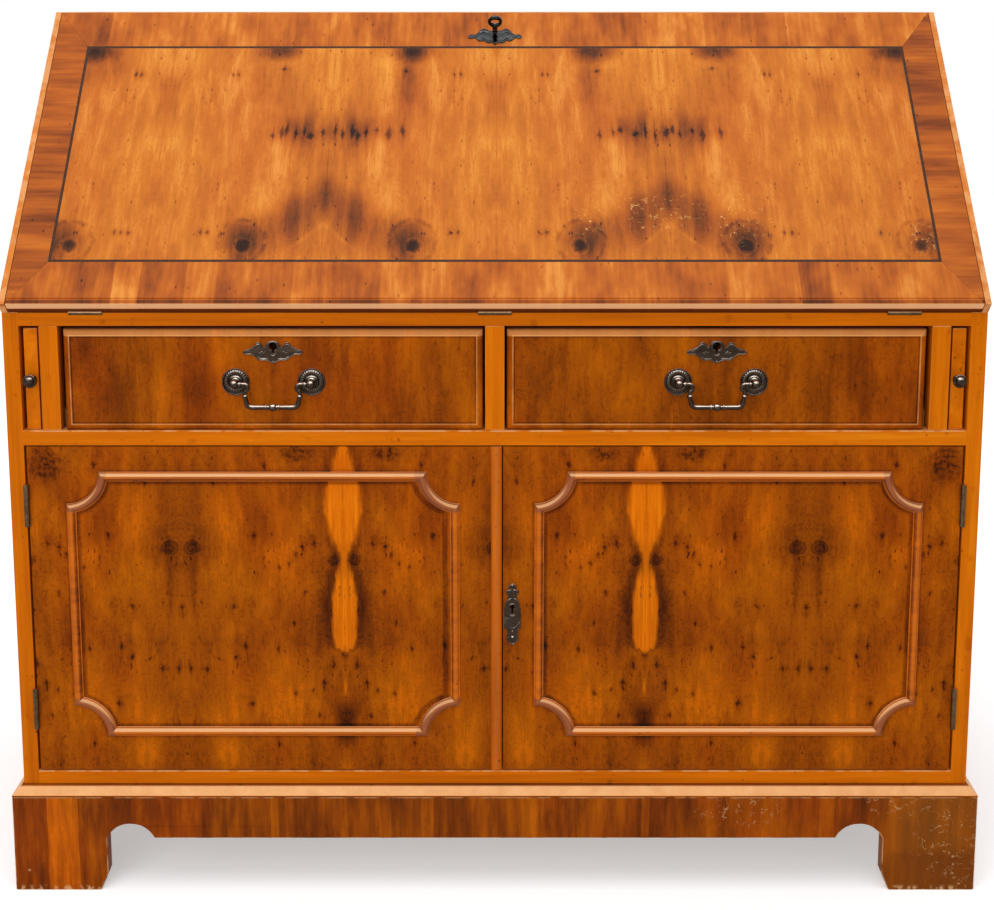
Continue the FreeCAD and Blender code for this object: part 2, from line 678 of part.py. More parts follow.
def fall_profile():
    """Cross-section of the fall in the flat position: square top edge, quirk and bead at the foot."""
    low, high, foot = FALL_SIT, FALL_FACE, FALL_FOOT_GAP
    centre = foot + NOSE_BEAD
    quirk = high - QUIRK_DEPTH
    bead_end = centre + math.sqrt(NOSE_BEAD ** 2 - (NOSE_BEAD - QUIRK_DEPTH) ** 2)
    path = [(foot, high - NOSE_BEAD), (foot, low), (FALL_LENGTH, low), (FALL_LENGTH, high)]
    path += [(bead_end + QUIRK_WIDTH, high), (bead_end + QUIRK_WIDTH, quirk), (bead_end, quirk)]
    points = [Vector(-FALL_HALF, y, z) for y, z in path]
    edges = [Part.LineSegment(a, b).toShape() for a, b in zip(points, points[1:])]
    edges.append(Part.Arc(points[-1], Vector(-FALL_HALF, centre, high), points[0]).toShape())
    return Part.Face(Part.Wire(edges))


def stringing():
    """Four strips of the dark line let into the face of the fall, in the flat position."""
    x = FALL_HALF - BAND_SIDE
    low, high = FALL_FOOT_GAP + BAND_END, FALL_LENGTH - BAND_END
    depth = (FALL_FACE - STRING_DEPTH, FALL_FACE)
    strips = []
    for end in ((low, low + STRING_WIDTH), (high - STRING_WIDTH, high)):
        strips.append(block((-x, x), end, depth))
    for side in ((-x, -x + STRING_WIDTH), (x - STRING_WIDTH, x)):
        strips.append(block(side, (low + STRING_WIDTH, high - STRING_WIDTH), depth))
    return strips


def leather_block(fit):
    """Writing leather in the flat position, drawn in by fit at its edges."""
    x = FALL_HALF - LEATHER_MARGIN - fit
    y = (FALL_FOOT_GAP + LEATHER_MARGIN + fit, FALL_LENGTH - LEATHER_MARGIN - fit)
    return block((-x, x), y, (FALL_SIT, FALL_SIT + LEATHER_THICKNESS))


def fall_lock_block(fit):
    """Lock case of the fall in the flat position, grown by fit."""
    x = FALL_LOCK_WIDTH / 2 + fit
    y = (FALL_LENGTH - FALL_LOCK_HEIGHT - fit, FALL_LENGTH)
    return block((-x, x), y, (FALL_SIT, FALL_SIT + FALL_LOCK_DEPTH + fit))


def fall_bolt_block(fit, reach):
    """Bolt of the fall lock in the flat position, grown by fit and drawn out at its free end by reach."""
    x = BOLT_WIDTH / 2 + fit
    middle = FALL_SIT + FALL_LOCK_DEPTH / 2
    z = (middle - BOLT_THICKNESS / 2 - fit, middle + BOLT_THICKNESS / 2 + fit)
    end = FALL_LENGTH - BOLT_SETBACK
    return block((-x, x), (end - BOLT_LENGTH - fit, end + reach + fit), z)


def make_fall():
    """Fall with its stringing, leather, hinges, lock, escutcheon and key."""
    panel = fall_profile().extrude(AXIS_X * (2 * FALL_HALF))
    key_point = Vector(0, KEY_S, FALL_FACE + PLATE_THICKNESS + PAST)
    hole = keyhole(key_point, -AXIS_Z, -AXIS_Y, FALL_THICKNESS + PLATE_THICKNESS + PAST)
    panel = cut(panel, *stringing(), leather_block(0.0), fall_lock_block(LOCK_FIT), hole)
    bed_leaves, flap_leaves, pins = [], [], []
    for middle in FALL_HINGES:
        bed, flap, pin = fall_hinge(middle)
        bed_leaves += bed
        flap_leaves += flap
        pins.append(pin)
        seat = fall_leaf_plate(middle)
        seat.translate(Vector(0, 0, LEAF_THICKNESS + FALL_SIT))
        ends = (seat.BoundBox.XMin - BARREL_GAP, seat.BoundBox.XMax + BARREL_GAP)
        room = rod(Vector(ends[0], 0, 0), Vector(ends[1], 0, 0), FALL_BARREL + BARREL_RELIEF)
        panel = cut(panel, seat, room, *flap_screws(middle))
    keep("fall_panel", lean(panel))
    keep("fall_stringing", *[lean(strip) for strip in stringing()])
    keep("fall_leather", lean(leather_block(LEATHER_FIT)))
    keep("fall_hinge_leaves", *flap_leaves)
    plate = scrolled_plate(FALL_PLATE_WIDTH, FALL_PLATE_HEIGHT)
    plate.rotate(Vector(0, 0, 0), AXIS_X, -90)
    plate.translate(Vector(0, KEY_S, FALL_FACE))
    keep("fall_escutcheon", lean(cut(plate, hole)))
    make_fall_lock(hole)
    make_key()
    return bed_leaves, pins


def make_fall_lock(hole):
    """Lock case of the fall with room for its bolt and for the turning bit of the key."""
    inside = FALL_LOCK_DEPTH - 2 * LEAF_THICKNESS
    floor = FALL_SIT + LEAF_THICKNESS
    bit_room = KEY_BIT_REACH + LEAF_THICKNESS
    chamber = rod(Vector(0, KEY_S, floor), Vector(0, KEY_S, floor + inside), bit_room)
    channel = fall_bolt_block(BOLT_FIT, BOLT_THROW)
    outer = rod(Vector(0, KEY_S, floor), Vector(0, KEY_S, FALL_FACE), FALL_LOCK_HEIGHT)
    entry = hole.common(outer)
    keep("fall_lock", lean(cut(fall_lock_block(0.0), chamber, channel, entry)))
    keep("fall_bolt", lean(fall_bolt_block(0.0, 0.0)))


def make_key():
    """Key standing in the fall lock, its bow turned across."""
    bit_z = FALL_SIT + 2 * LEAF_THICKNESS
    tip = FALL_FACE + KEY_STAND
    rim = KEY_BOW - KEY_BOW_HOLE
    shank = rod(Vector(0, KEY_S, bit_z), Vector(0, KEY_S, tip + rim / 2), KEY_SHANK)
    half = KEY_BIT_THICKNESS / 2
    bit = block((0, KEY_BIT_REACH), (KEY_S - half, KEY_S + half), (bit_z, bit_z + KEY_BIT_WIDTH))
    bow_y = KEY_S - KEY_BOW_THICKNESS / 2
    centre = Vector(0, bow_y, tip + KEY_BOW)
    ring = Part.makeCylinder(KEY_BOW, KEY_BOW_THICKNESS, centre, AXIS_Y)
    eye = Part.makeCylinder(KEY_BOW_HOLE, KEY_BOW_THICKNESS + 2 * PAST, centre - AXIS_Y * PAST, AXIS_Y)
    keep("fall_key", lean(cut(join(shank, bit, ring), eye)))


def make_lopers():
    """Pull-out arms that carry the open fall, each with its knob."""
    length_y = (LOPER_SETBACK, LOPER_SETBACK + LOPER_LENGTH)
    arm = block((LOPER_IN, LOPER_OUT), length_y, (Z_ROW + RUN_FIT, LOPER_TOP))
    n, length = LOPER_KNOB_NECK, LOPER_KNOB_LENGTH
    base = LOPER_KNOB * LOPER_KNOB_BASE
    edge = LOPER_KNOB * LOPER_KNOB_EDGE
    rim = length * 0.55
    lip = length * 0.75
    profile = [(0, 0), None, (base, 0), None, (base, length * 0.1), (n, length * 0.2), (n, length * 0.385)]
    profile += [None, (edge, rim), (LOPER_KNOB, (rim + lip) / 2), (edge, lip), None, (base, lip)]
    profile += [cap_middle(base, lip, length), (0, length)]
    knob_base = Vector((LOPER_IN + LOPER_OUT) / 2, LOPER_SETBACK, (Z_ROW + LOPER_TOP) / 2)
    knob = turned(profile, knob_base, -AXIS_Y)
    keep("loper_right", arm)
    keep("loper_left", mirrored(arm))
    keep("loper_knob_right", knob)
    keep("loper_knob_left", mirrored(knob))


def drawer_edge_section():
    """Section of the moulding round a drawer front: a convex fall to the outside and a small crest."""
    high = DRAWER_PLATE_SETBACK - DRAWER_FIELD_SETBACK + DRAWER_CREST_PROUD
    crest = DRAWER_EDGE - DRAWER_CREST
    bulge = (crest * (1 - math.sqrt(0.5)), high * math.sqrt(0.5))
    edges = [Part.Arc(Vector(0, 0, 0), Vector(bulge[0], bulge[1], 0), Vector(crest, high, 0)).toShape()]
    corners = [(crest, high), (DRAWER_EDGE, high), (DRAWER_EDGE, 0), (0, 0)]
    for a, b in zip(corners, corners[1:]):
        edges.append(Part.LineSegment(Vector(*a, 0), Vector(*b, 0)).toShape())
    return Part.Face(Part.Wire(edges))


def frame_strips(section, x, z, front):
    """Four mitred strips round a rectangle."""
    low_left, low_right = Vector(x[0], 0, z[0]), Vector(x[1], 0, z[0])
    high_left, high_right = Vector(x[0], 0, z[1]), Vector(x[1], 0, z[1])
    runs = [(low_left, low_right, AXIS_Z), (high_right, high_left, -AXIS_Z)]
    runs += [(low_right, high_right, -AXIS_X), (high_left, low_left, AXIS_X)]
    return [mitred_strip(section, start, end, inner, front) for start, end, inner in runs]


def make_drawer():
    """Parts of the right-hand drawer by their short names."""
    x, z = DRAWER_X, DRAWER_Z
    board = block(x, (DRAWER_PLATE_SETBACK, DRAWER_FRONT_BACK), z)
    field_x = (x[0] + DRAWER_EDGE, x[1] - DRAWER_EDGE)
    field_z = (z[0] + DRAWER_EDGE, z[1] - DRAWER_EDGE)
    front = join(board, block(field_x, (DRAWER_FIELD_SETBACK, DRAWER_PLATE_SETBACK), field_z))
    key_y = DRAWER_FIELD_SETBACK - PLATE_THICKNESS - PAST
    key_point = Vector(DRAWER_MID, key_y, z[1] - DRAWER_KEY_DROP)
    lock_x = (DRAWER_MID - DRAWER_LOCK_WIDTH / 2, DRAWER_MID + DRAWER_LOCK_WIDTH / 2)
    lock_y = (DRAWER_FRONT_BACK - DRAWER_LOCK_DEPTH, DRAWER_FRONT_BACK)
    lock = block(lock_x, lock_y, (z[1] - DRAWER_LOCK_HEIGHT, z[1]))
    hole = keyhole(key_point, AXIS_Y, -AXIS_Z, sum(lock_y) / 2 - key_y, DRAWER_KEYHOLE)
    edging = frame_strips(drawer_edge_section(), x, z, DRAWER_PLATE_SETBACK)
    box_y = (DRAWER_FRONT_BACK, DRAWER_FRONT_BACK + DRAWER_BOX_LENGTH)
    wall_z = (z[0], z[0] + DRAWER_SIDE_HEIGHT)
    inner_x = (x[0] + DRAWER_SIDE, x[1] - DRAWER_SIDE)
    walls = [block((x[0], inner_x[0]), box_y, wall_z), block((inner_x[1], x[1]), box_y, wall_z)]
    bottom_z = (z[0] + DRAWER_BOTTOM_LIFT, z[0] + DRAWER_BOTTOM_LIFT + DRAWER_BOTTOM)
    bottom = block(inner_x, box_y, bottom_z)
    back = block(inner_x, (box_y[1] - DRAWER_SIDE, box_y[1]), (bottom_z[1], wall_z[1]))
    plate = scrolled_plate(DRAWER_PLATE_WIDTH, DRAWER_PLATE_HEIGHT)
    plate.translate(Vector(DRAWER_MID, DRAWER_FIELD_SETBACK, key_point.z - DRAWER_PLATE_DROP))
    posts = [handle_post(DRAWER_MID - inward * HANDLE_CENTRES / 2, inward) for inward in (1, -1)]
    return {
        "front": [cut(front, lock, hole)] + edging,
        "lock": [cut(lock, hole)],
        "box": walls + [back, bottom],
        "fittings": [cut(plate, hole)] + posts,
        "bail": [bail()],
    }


def handle_post(x, inward):
    """Rosette and post of a handle; its ball is bored from the inner side for the bail."""
    r, h, n = ROSETTE_RADIUS, ROSETTE_HEIGHT, POST_NECK
    profile = [(0, 0), None, (r, 0), None, (r, h * 0.35), (r * 0.94, h * 0.72), (r * 0.84, h * 0.5), None,
               (r * 0.8, h * 0.5), (r * 0.62, h * 0.95), (r * 0.42, h * 0.62), None, (n * 1.5, h * 0.62),
               (n * 1.15, h), (n, h * 1.3), None, (n, BAIL_STAND), None, (0, BAIL_STAND)]
    post = turned(profile, Vector(x, DRAWER_FIELD_SETBACK, HANDLE_Z), -AXIS_Y)
    ball = Part.makeSphere(POST_BALL, Vector(x, BAIL_Y, HANDLE_Z))
    middle = Vector(x, BAIL_Y, HANDLE_Z)
    bore = rod(middle, middle + AXIS_X * (inward * POST_BALL * 2), BAIL_PIN + BAIL_PIN_FIT)
    return cut(join(post, ball), bore)


def bend(point, heading, turn, radius):
    """Arc in the plane of the bail, with the point and heading at its end.

    Headings and turns are in degrees; seen from the front, a positive turn is anticlockwise.
    """
    side = math.copysign(90, turn)
    places = []
    for share in (0.5, 1.0):
        away = [math.radians(heading + side), math.radians(heading + side + share * turn)]
        x = radius * (math.cos(away[0]) - math.cos(away[1]))
        z = radius * (math.sin(away[0]) - math.sin(away[1]))
        places.append(point + Vector(x, 0, z))
    return Part.Arc(point, *places).toShape(), places[1], heading + turn


def bail():
    """Swan-neck bail with pivot pins, collars and a turned middle, hanging at rest."""
    post_x = HANDLE_CENTRES / 2
    start_x = post_x - POST_BALL - RUN_FIT
    low = HANDLE_Z - BAIL_DEPTH

    def at(offset, z):
        return Vector(DRAWER_MID + offset, BAIL_Y, z)

    neck_heading = 180 + BAIL_CURL_TURN
    leg_heading = 270 - BAIL_LEG_LEAN
    begin = at(start_x, HANDLE_Z)
    curl_start = at(post_x - BAIL_CURL_INSET, HANDLE_Z)
    curl, neck_start, heading = bend(curl_start, 180.0, BAIL_CURL_TURN, BAIL_CURL)
    neck, leg_start, heading = bend(neck_start, heading, leg_heading - neck_heading, BAIL_NECK)
    leg_way = Vector(math.cos(math.radians(leg_heading)), 0, math.sin(math.radians(leg_heading)))
    drop = BAIL_CORNER * (1 - math.cos(math.radians(leg_heading - 180)))
    leg_end = leg_start + leg_way * ((leg_start.z - low - drop) / -leg_way.z)
    corner, bar_start, heading = bend(leg_end, heading, 180 - leg_heading, BAIL_CORNER)
    straights = [(begin, curl_start), (leg_start, leg_end), (bar_start, at(0, low))]
    first, leg, bar = [Part.LineSegment(a, b).toShape() for a, b in straights]
    path = Part.Wire([first, curl, neck, leg, corner, bar])
    profile = Part.Wire(Part.Circle(begin, AXIS_X, BAIL_ROD).toShape())
    side = path.makePipeShell([profile], True, False)
    pin = rod(begin + AXIS_X * (BAIL_PIN_LENGTH + RUN_FIT), begin, BAIL_PIN)
    collar = rod(leg_start, leg_start + leg_way * BAIL_RING_LENGTH, BAIL_RING)
    rings = []
    for k in (1, 2):
        ring_x = k * BAIL_RING_OFFSET
        rings.append(rod(at(ring_x, low), at(ring_x + BAIL_RING_LENGTH, low), BAIL_RING))
    half_bail = join(side, pin, collar, *rings)
    other = half_bail.mirror(Vector(DRAWER_MID, 0, 0), AXIS_X)
    bead_profile = [(0, -BAIL_BEAD_LENGTH / 2), None, (BAIL_ROD, -BAIL_BEAD_LENGTH / 2), (BAIL_BEAD, 0)]
    bead_profile += [(BAIL_ROD, BAIL_BEAD_LENGTH / 2), None, (0, BAIL_BEAD_LENGTH / 2)]
    return join(half_bail, other, turned(bead_profile, at(0, low), AXIS_X))


def make_drawers():
    """Both drawers; each is alike about its own middle, so the left one is the right one moved over."""
    over = AXIS_X * (-2 * DRAWER_MID)
    for name, shapes in make_drawer().items():
        keep("drawer_right_" + name, *shapes)
        keep("drawer_left_" + name, *[shape.translated(over) for shape in shapes])


def mould_section():
    """Section of the moulding on a door: a ledge each side of a round."""
    low, high = MOULD_LEDGE, MOULD_WIDTH - MOULD_LEDGE
    corners = [(high, MOULD_STEP), (MOULD_WIDTH, MOULD_STEP), (MOULD_WIDTH, 0)]
    corners += [(0, 0), (0, MOULD_STEP), (low, MOULD_STEP)]
    points = [Vector(u, v, 0) for u, v in corners]
    edges = [Part.LineSegment(a, b).toShape() for a, b in zip(points, points[1:])]
    edges.append(Part.Arc(points[-1], Vector(MOULD_WIDTH / 2, MOULD_PROUD, 0), points[0]).toShape())
    return Part.Face(Part.Wire(edges))


def hollow_corner(corner, to_x, to_z):
    """Concave corner of a door moulding about the frame's outer corner, mitred at both ends."""
    near = MOULD_HOLLOW
    far = MOULD_HOLLOW + MOULD_WIDTH
    front = DOOR_SETBACK
    centre = Vector(corner.x, front, corner.z)
    matrix = FreeCAD.Matrix()
    matrix.A11, matrix.A21, matrix.A31 = to_x, 0.0, 0.0
    matrix.A12, matrix.A22, matrix.A32 = 0.0, -1.0, 0.0
    matrix.A13, matrix.A23, matrix.A33 = 0.0, 0.0, 1.0
    matrix.A14, matrix.A24, matrix.A34 = corner.x + to_x * near, front, corner.z
    face = mould_section().transformGeometry(matrix)
    sweep = face.revolve(centre, AXIS_Y, -90 * to_x * to_z)
    inside = [(near, 0), (far, MOULD_WIDTH), (far, far), (MOULD_WIDTH, far), (0, near), (0, 0)]
    trim = polygon([Vector(corner.x + to_x * u, front + PAST, corner.z + to_z * v) for u, v in inside])
    return sweep.common(trim.extrude(Vector(0, -MOULD_PROUD - 2 * PAST, 0)))


def door_moulding(x):
    """Applied moulding of a door: four straights and four hollow corners."""
    z = (DOOR_Z[0] + MOULD_BOTTOM_MARGIN, DOOR_Z[1] - MOULD_TOP_MARGIN)
    r = MOULD_HOLLOW
    section = mould_section()
    runs = [
        (Vector(x[0] + r, 0, z[0]), Vector(x[1] - r, 0, z[0]), AXIS_Z),
        (Vector(x[1] - r, 0, z[1]), Vector(x[0] + r, 0, z[1]), -AXIS_Z),
        (Vector(x[1], 0, z[0] + r), Vector(x[1], 0, z[1] - r), -AXIS_X),
        (Vector(x[0], 0, z[1] - r), Vector(x[0], 0, z[0] + r), AXIS_X),
    ]
    strips = [mitred_strip(section, start, end, inner, DOOR_SETBACK) for start, end, inner in runs]
    for cx, to_x in ((x[0], 1), (x[1], -1)):
        for cz, to_z in ((z[0], 1), (z[1], -1)):
            strips.append(hollow_corner(Vector(cx, 0, cz), to_x, to_z))
    return strips


def door_barrel(z, radius):
    """Bar along the hinge line of the left door."""
    x, y = HINGE_AXIS
    return rod(Vector(-x, y, z[0]), Vector(-x, y, z[1]), radius)


def door_screws(frame):
    """Screws of the left door's hinges, into the side or into the door."""
    screws = []
    for level in HINGE_LEVELS:
        for k in (-1, 1):
            z = level + k * DOOR_HINGE_LENGTH * SCREW_ALONG
            y = DOOR_LEAF * DOOR_SCREW_ACROSS
            if frame:
                screws.append(screw(Vector(-INNER + LEAF_THICKNESS, y, z), -AXIS_X))
            else:
                screws.append(screw(Vector(-DOOR_HINGE_X - LEAF_THICKNESS, y, z), AXIS_X))
    return screws


def door_hinge(level):
    """Frame leaf, door leaf and pin of one hinge of the left door."""
    third = DOOR_HINGE_LENGTH / 3
    ends = [level + third * k for k in (-1.5, -0.5, 0.5, 1.5)]
    low, middle, high = zip(ends, ends[1:])
    gap = BARREL_GAP / 2
    clear = DOOR_BARREL + BARREL_RELIEF
    y = (HINGE_AXIS[1], DOOR_LEAF)
    z = (low[0], high[1])
    bore = door_barrel((low[0] - PAST, high[1] + PAST), DOOR_PIN + PIN_FIT)
    frame = block((-INNER, -INNER + LEAF_THICKNESS), y, z)
    frame = cut(frame, door_barrel((middle[0] - gap, middle[1] + gap), clear))
    outer_ends = [(low[0], low[1] - gap), (high[0] + gap, high[1])]
    frame = join(frame, *[door_barrel(end, DOOR_BARREL) for end in outer_ends])
    leaf = block((-DOOR_HINGE_X - LEAF_THICKNESS, -DOOR_HINGE_X), y, z)
    for end in (low, high):
        leaf = cut(leaf, door_barrel((end[0] - gap, end[1] + gap), clear))
    leaf = join(leaf, door_barrel((middle[0] + gap, middle[1] - gap), DOOR_BARREL))
    return cut(frame, bore), cut(leaf, bore), door_barrel(z, DOOR_PIN)


def make_doors(bed_leaves, fall_pins):
    """Both doors with mouldings, hinges, astragal, lock, bolts and escutcheon."""
    frame_screws = door_screws(True)
    leaf_screws = door_screws(False)
    frame_leaves, door_leaves, pins = [], [], []
    for level in HINGE_LEVELS:
        frame, leaf, pin = door_hinge(level)
        frame_leaves.append(cut(frame, *frame_screws))
        door_leaves.append(cut(leaf, *leaf_screws))
        pins.append(pin)
    fixed = frame_leaves + frame_screws
    moving = door_leaves + leaf_screws
    keep("hinge_frame_leaves", *bed_leaves, *fixed, *[mirrored(piece) for piece in fixed])
    keep("hinge_pins", *fall_pins, *pins, *[mirrored(pin) for pin in pins])
    keep("door_left_hinge_leaves", *moving)
    keep("door_right_hinge_leaves", *[mirrored(piece) for piece in moving])
    left = block((-DOOR_HINGE_X, -ASTRAGAL_LEFT), DOOR_Y, DOOR_Z)
    bolt_hole = flush_bolt_rod(RUN_FIT, FLUSH_BOLT_THROW)
    keep("door_left_panel", cut(left, flush_plate_block(), bolt_hole, *leaf_screws))
    mould_hinge = DOOR_HINGE_X - MOULD_HINGE_MARGIN
    keep("door_left_moulding", *door_moulding((-mould_hinge, -ASTRAGAL_LEFT - MOULD_MEET_MARGIN)))
    right_x = (MEET_RIGHT, DOOR_HINGE_X)
    key_point = Vector(DOOR_KEY_X, DOOR_SETBACK - PLATE_THICKNESS - PAST, DOOR_KEY_Z)
    hole = keyhole(key_point, AXIS_Y, -AXIS_Z, DOOR_THICKNESS)
    case = door_lock_block()
    channel = door_bolt_block(BOLT_FIT, DOOR_BOLT_THROW)
    right = cut(block(right_x, DOOR_Y, DOOR_Z), case, channel, hole)
    keep("door_right_panel", cut(right, *[mirrored(piece) for piece in leaf_screws]))
    keep("door_right_moulding", *door_moulding((MEET_RIGHT + MOULD_MEET_MARGIN, mould_hinge)))
    keep("door_lock", cut(case, channel, hole))
    keep("door_lock_bolt", door_bolt_block(0.0, 0.0))
    keep("door_left_astragal", cut(astragal(), channel))
    plate = scrolled_plate(DOOR_PLATE_HEIGHT, DOOR_PLATE_WIDTH)
    plate.rotate(Vector(0, 0, 0), AXIS_Y, 90)
    plate.translate(Vector(DOOR_KEY_X, DOOR_SETBACK, DOOR_KEY_Z - DOOR_PLATE_DROP))
    keep("door_escutcheon", cut(plate, hole))
    keep("door_left_bolt", flush_bolt_rod(0.0, 0.0))
    keep("door_left_bolt_plate", cut(flush_plate_block(), bolt_hole))
    stop_x = (DOOR_STOP_INSET, DOOR_STOP_INSET + DOOR_STOP_LENGTH)
    stop_y = (DOOR_Y[1] + RUN_FIT, DOOR_Y[1] + RUN_FIT + DOOR_STOP)
    stop = block(stop_x, stop_y, (Z_MID - DOOR_STOP, Z_MID))
    keep("door_stops", stop, mirrored(stop))


def astragal():
    """Closing strip on the free edge of the left door with a half-round nose."""
    x = (-ASTRAGAL_LEFT, MEET_LEFT)
    middle = sum(x) / 2
    body = block(x, DOOR_Y, DOOR_Z)
    ends = [Vector(x[0], DOOR_SETBACK, DOOR_Z[0]), Vector(x[1], DOOR_SETBACK, DOOR_Z[0])]
    crown = Vector(middle, DOOR_SETBACK - ASTRAGAL_PROUD, DOOR_Z[0])
    edges = [Part.Arc(ends[0], crown, ends[1]).toShape(), Part.LineSegment(ends[1], ends[0]).toShape()]
    nose = Part.Face(Part.Wire(edges)).extrude(AXIS_Z * (DOOR_Z[1] - DOOR_Z[0]))
    return join(body, nose)


def door_lock_block():
    """Lock case let into the inner face of the right door at its free edge."""
    x = (MEET_RIGHT, MEET_RIGHT + DOOR_LOCK_WIDTH)
    z = (DOOR_KEY_Z - DOOR_LOCK_HEIGHT / 2, DOOR_KEY_Z + DOOR_LOCK_HEIGHT / 2)
    return block(x, (DOOR_Y[1] - DOOR_LOCK_DEPTH, DOOR_Y[1]), z)


def door_bolt_block(fit, reach):
    """Bolt of the door lock, withdrawn, grown by fit and drawn out by reach; it lies below the keyhole."""
    end = MEET_RIGHT + BOLT_SETBACK
    x = (end - reach - fit, end + DOOR_BOLT_LENGTH + fit)
    middle = DOOR_Y[1] - DOOR_LOCK_DEPTH / 2
    y = (middle - BOLT_THICKNESS / 2 - fit, middle + BOLT_THICKNESS / 2 + fit)
    top = DOOR_KEY_Z - KEYHOLE_DROP - LEAF_THICKNESS
    return block(x, y, (top - DOOR_BOLT_HEIGHT - fit, top + fit))


def flush_plate_block():
    """Plate of the sliding bolt let into the inner face of the left door, near its free edge."""
    x = -ASTRAGAL_LEFT - FLUSH_BOLT_INSET
    width = (x - FLUSH_PLATE_WIDTH / 2, x + FLUSH_PLATE_WIDTH / 2)
    height = (DOOR_Z[1] - FLUSH_PLATE_LENGTH, DOOR_Z[1])
    return block(width, (DOOR_Y[1] - FLUSH_PLATE_DEPTH, DOOR_Y[1]), height)


def flush_bolt_rod(fit, rise):
    """Sliding bolt of the left door, withdrawn, grown by fit and drawn upwards by rise."""
    x = -ASTRAGAL_LEFT - FLUSH_BOLT_INSET
    y = DOOR_Y[1] - FLUSH_PLATE_DEPTH / 2
    top = DOOR_Z[1] - BOLT_SETBACK
    low = Vector(x, y, top - FLUSH_BOLT_LENGTH - fit)
    return rod(low, Vector(x, y, top + rise + fit), FLUSH_BOLT + fit)


def make_stationery():
    """Pigeonholes behind the fall with two small drawers below them."""
    y = (RACK_FRONT, Y_BACK)
    shelf_z = RACK_SHELF_Z
    full = (-INNER + RACK_BOARD, INNER - RACK_BOARD)
    boards = [block(full, y, (Z_BED, Z_BED + RACK_BOARD)), block(full, y, (shelf_z, shelf_z + RACK_BOARD))]
    upper_z = (shelf_z + RACK_BOARD, Z_TOP)
    lower_z = (Z_BED + RACK_BOARD, shelf_z)
    centre = RACK_CENTRE_WIDTH / 2
    right = [block((INNER - RACK_BOARD, INNER), y, (Z_BED, Z_TOP))]
    right.append(block((centre, centre + RACK_BOARD), y, lower_z))
    bay = (INNER - RACK_BOARD - centre) / RACK_HOLES
    for k in range(RACK_HOLES):
        right.append(block((centre + k * bay, centre + k * bay + RACK_BOARD), y, upper_z))
    boards += right + [mirrored(piece) for piece in right]
    level = upper_z[0] + RACK_CENTRE_SHARE * (upper_z[1] - upper_z[0])
    boards.append(block((-centre, centre), y, (level, level + RACK_BOARD)))
    keep("stationery_rack", *boards)
    tray_x = (centre + RACK_BOARD + TRAY_GAP, INNER - RACK_BOARD - TRAY_GAP)
    tray_z = (lower_z[0] + RUN_FIT, lower_z[1] - TRAY_GAP)
    tray_y = (RACK_FRONT, Y_BACK - TRAY_GAP)
    inside_x = (tray_x[0] + TRAY_BOARD, tray_x[1] - TRAY_BOARD)
    behind = (tray_y[0] + TRAY_BOARD, tray_y[1])
    tray = [block(tray_x, (tray_y[0], behind[0]), tray_z)]
    tray.append(block((tray_x[0], inside_x[0]), behind, tray_z))
    tray.append(block((inside_x[1], tray_x[1]), behind, tray_z))
    tray.append(block(inside_x, (behind[1] - TRAY_BOARD, behind[1]), tray_z))
    tray.append(block(inside_x, (behind[0], behind[1] - TRAY_BOARD), (tray_z[0], tray_z[0] + TRAY_BOTTOM)))
    r, n, length = TRAY_KNOB, TRAY_KNOB_NECK, TRAY_KNOB_LENGTH
    base = r * TRAY_KNOB_BASE
    neck_end = length - r - math.sqrt(r ** 2 - n ** 2)
    profile = [(0, 0), None, (base, 0), None, (base, neck_end * 0.3), None, (n, neck_end * 0.6), None]
    profile += [(n, neck_end), (r, length - r), (0, length)]
    knob = turned(profile, Vector(sum(tray_x) / 2, tray_y[0], sum(tray_z) / 2), -AXIS_Y)
    keep("tray_right", *tray)
    keep("tray_left", *[mirrored(piece) for piece in tray])
    keep("tray_knob_right", knob)
    keep("tray_knob_left", mirrored(knob))


def main():
    """Model every piece and write one file per node, with the origin under the middle of the bureau."""
    make_sides()
    make_top()
    make_back()
    make_rails()
    make_drawer_row()
    make_shelf()
    make_plinth()
    bed_leaves, fall_pins = make_fall()
    make_lopers()
    make_drawers()
    make_doors(bed_leaves, fall_pins)
    make_stationery()
    os.makedirs("parts", exist_ok=True)
    for name, shapes in pieces.items():
        placed = [solid.translated(Vector(0, -ORIGIN_Y, 0)) for shape in shapes for solid in shape.Solids]
        node = placed[0] if len(placed) == 1 else Part.makeCompound(placed)
        if not node.isValid():
            print("not valid:", name)
        node.exportStep("parts/" + name + ".step")
    print(len(pieces), "nodes written")


if __name__ == "__main__":
    main()
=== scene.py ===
"""Looks of the slant-front escritoire: figured yew, dark bronze fittings and a plain pale studio."""

import logging
import math
from dataclasses import dataclass
from enum import Enum
from typing import Iterable, Optional, Sequence, Union

import bmesh
import bpy
from mathutils import Matrix, Vector


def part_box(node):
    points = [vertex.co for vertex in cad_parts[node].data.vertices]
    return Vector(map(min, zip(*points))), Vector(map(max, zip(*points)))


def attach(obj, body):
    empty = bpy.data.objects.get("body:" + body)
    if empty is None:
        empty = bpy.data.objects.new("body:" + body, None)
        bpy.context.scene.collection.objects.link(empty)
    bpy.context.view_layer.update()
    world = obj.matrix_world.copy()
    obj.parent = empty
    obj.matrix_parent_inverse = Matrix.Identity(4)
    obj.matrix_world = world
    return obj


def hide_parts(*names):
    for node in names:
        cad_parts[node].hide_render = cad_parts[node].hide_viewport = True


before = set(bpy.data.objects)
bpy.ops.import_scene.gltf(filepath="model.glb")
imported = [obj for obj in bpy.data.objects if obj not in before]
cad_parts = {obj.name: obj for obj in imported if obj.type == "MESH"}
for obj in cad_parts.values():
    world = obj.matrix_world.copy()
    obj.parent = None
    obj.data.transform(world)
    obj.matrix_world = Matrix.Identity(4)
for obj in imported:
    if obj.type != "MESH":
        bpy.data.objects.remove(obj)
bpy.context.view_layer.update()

LOG = logging.getLogger("escritoire")
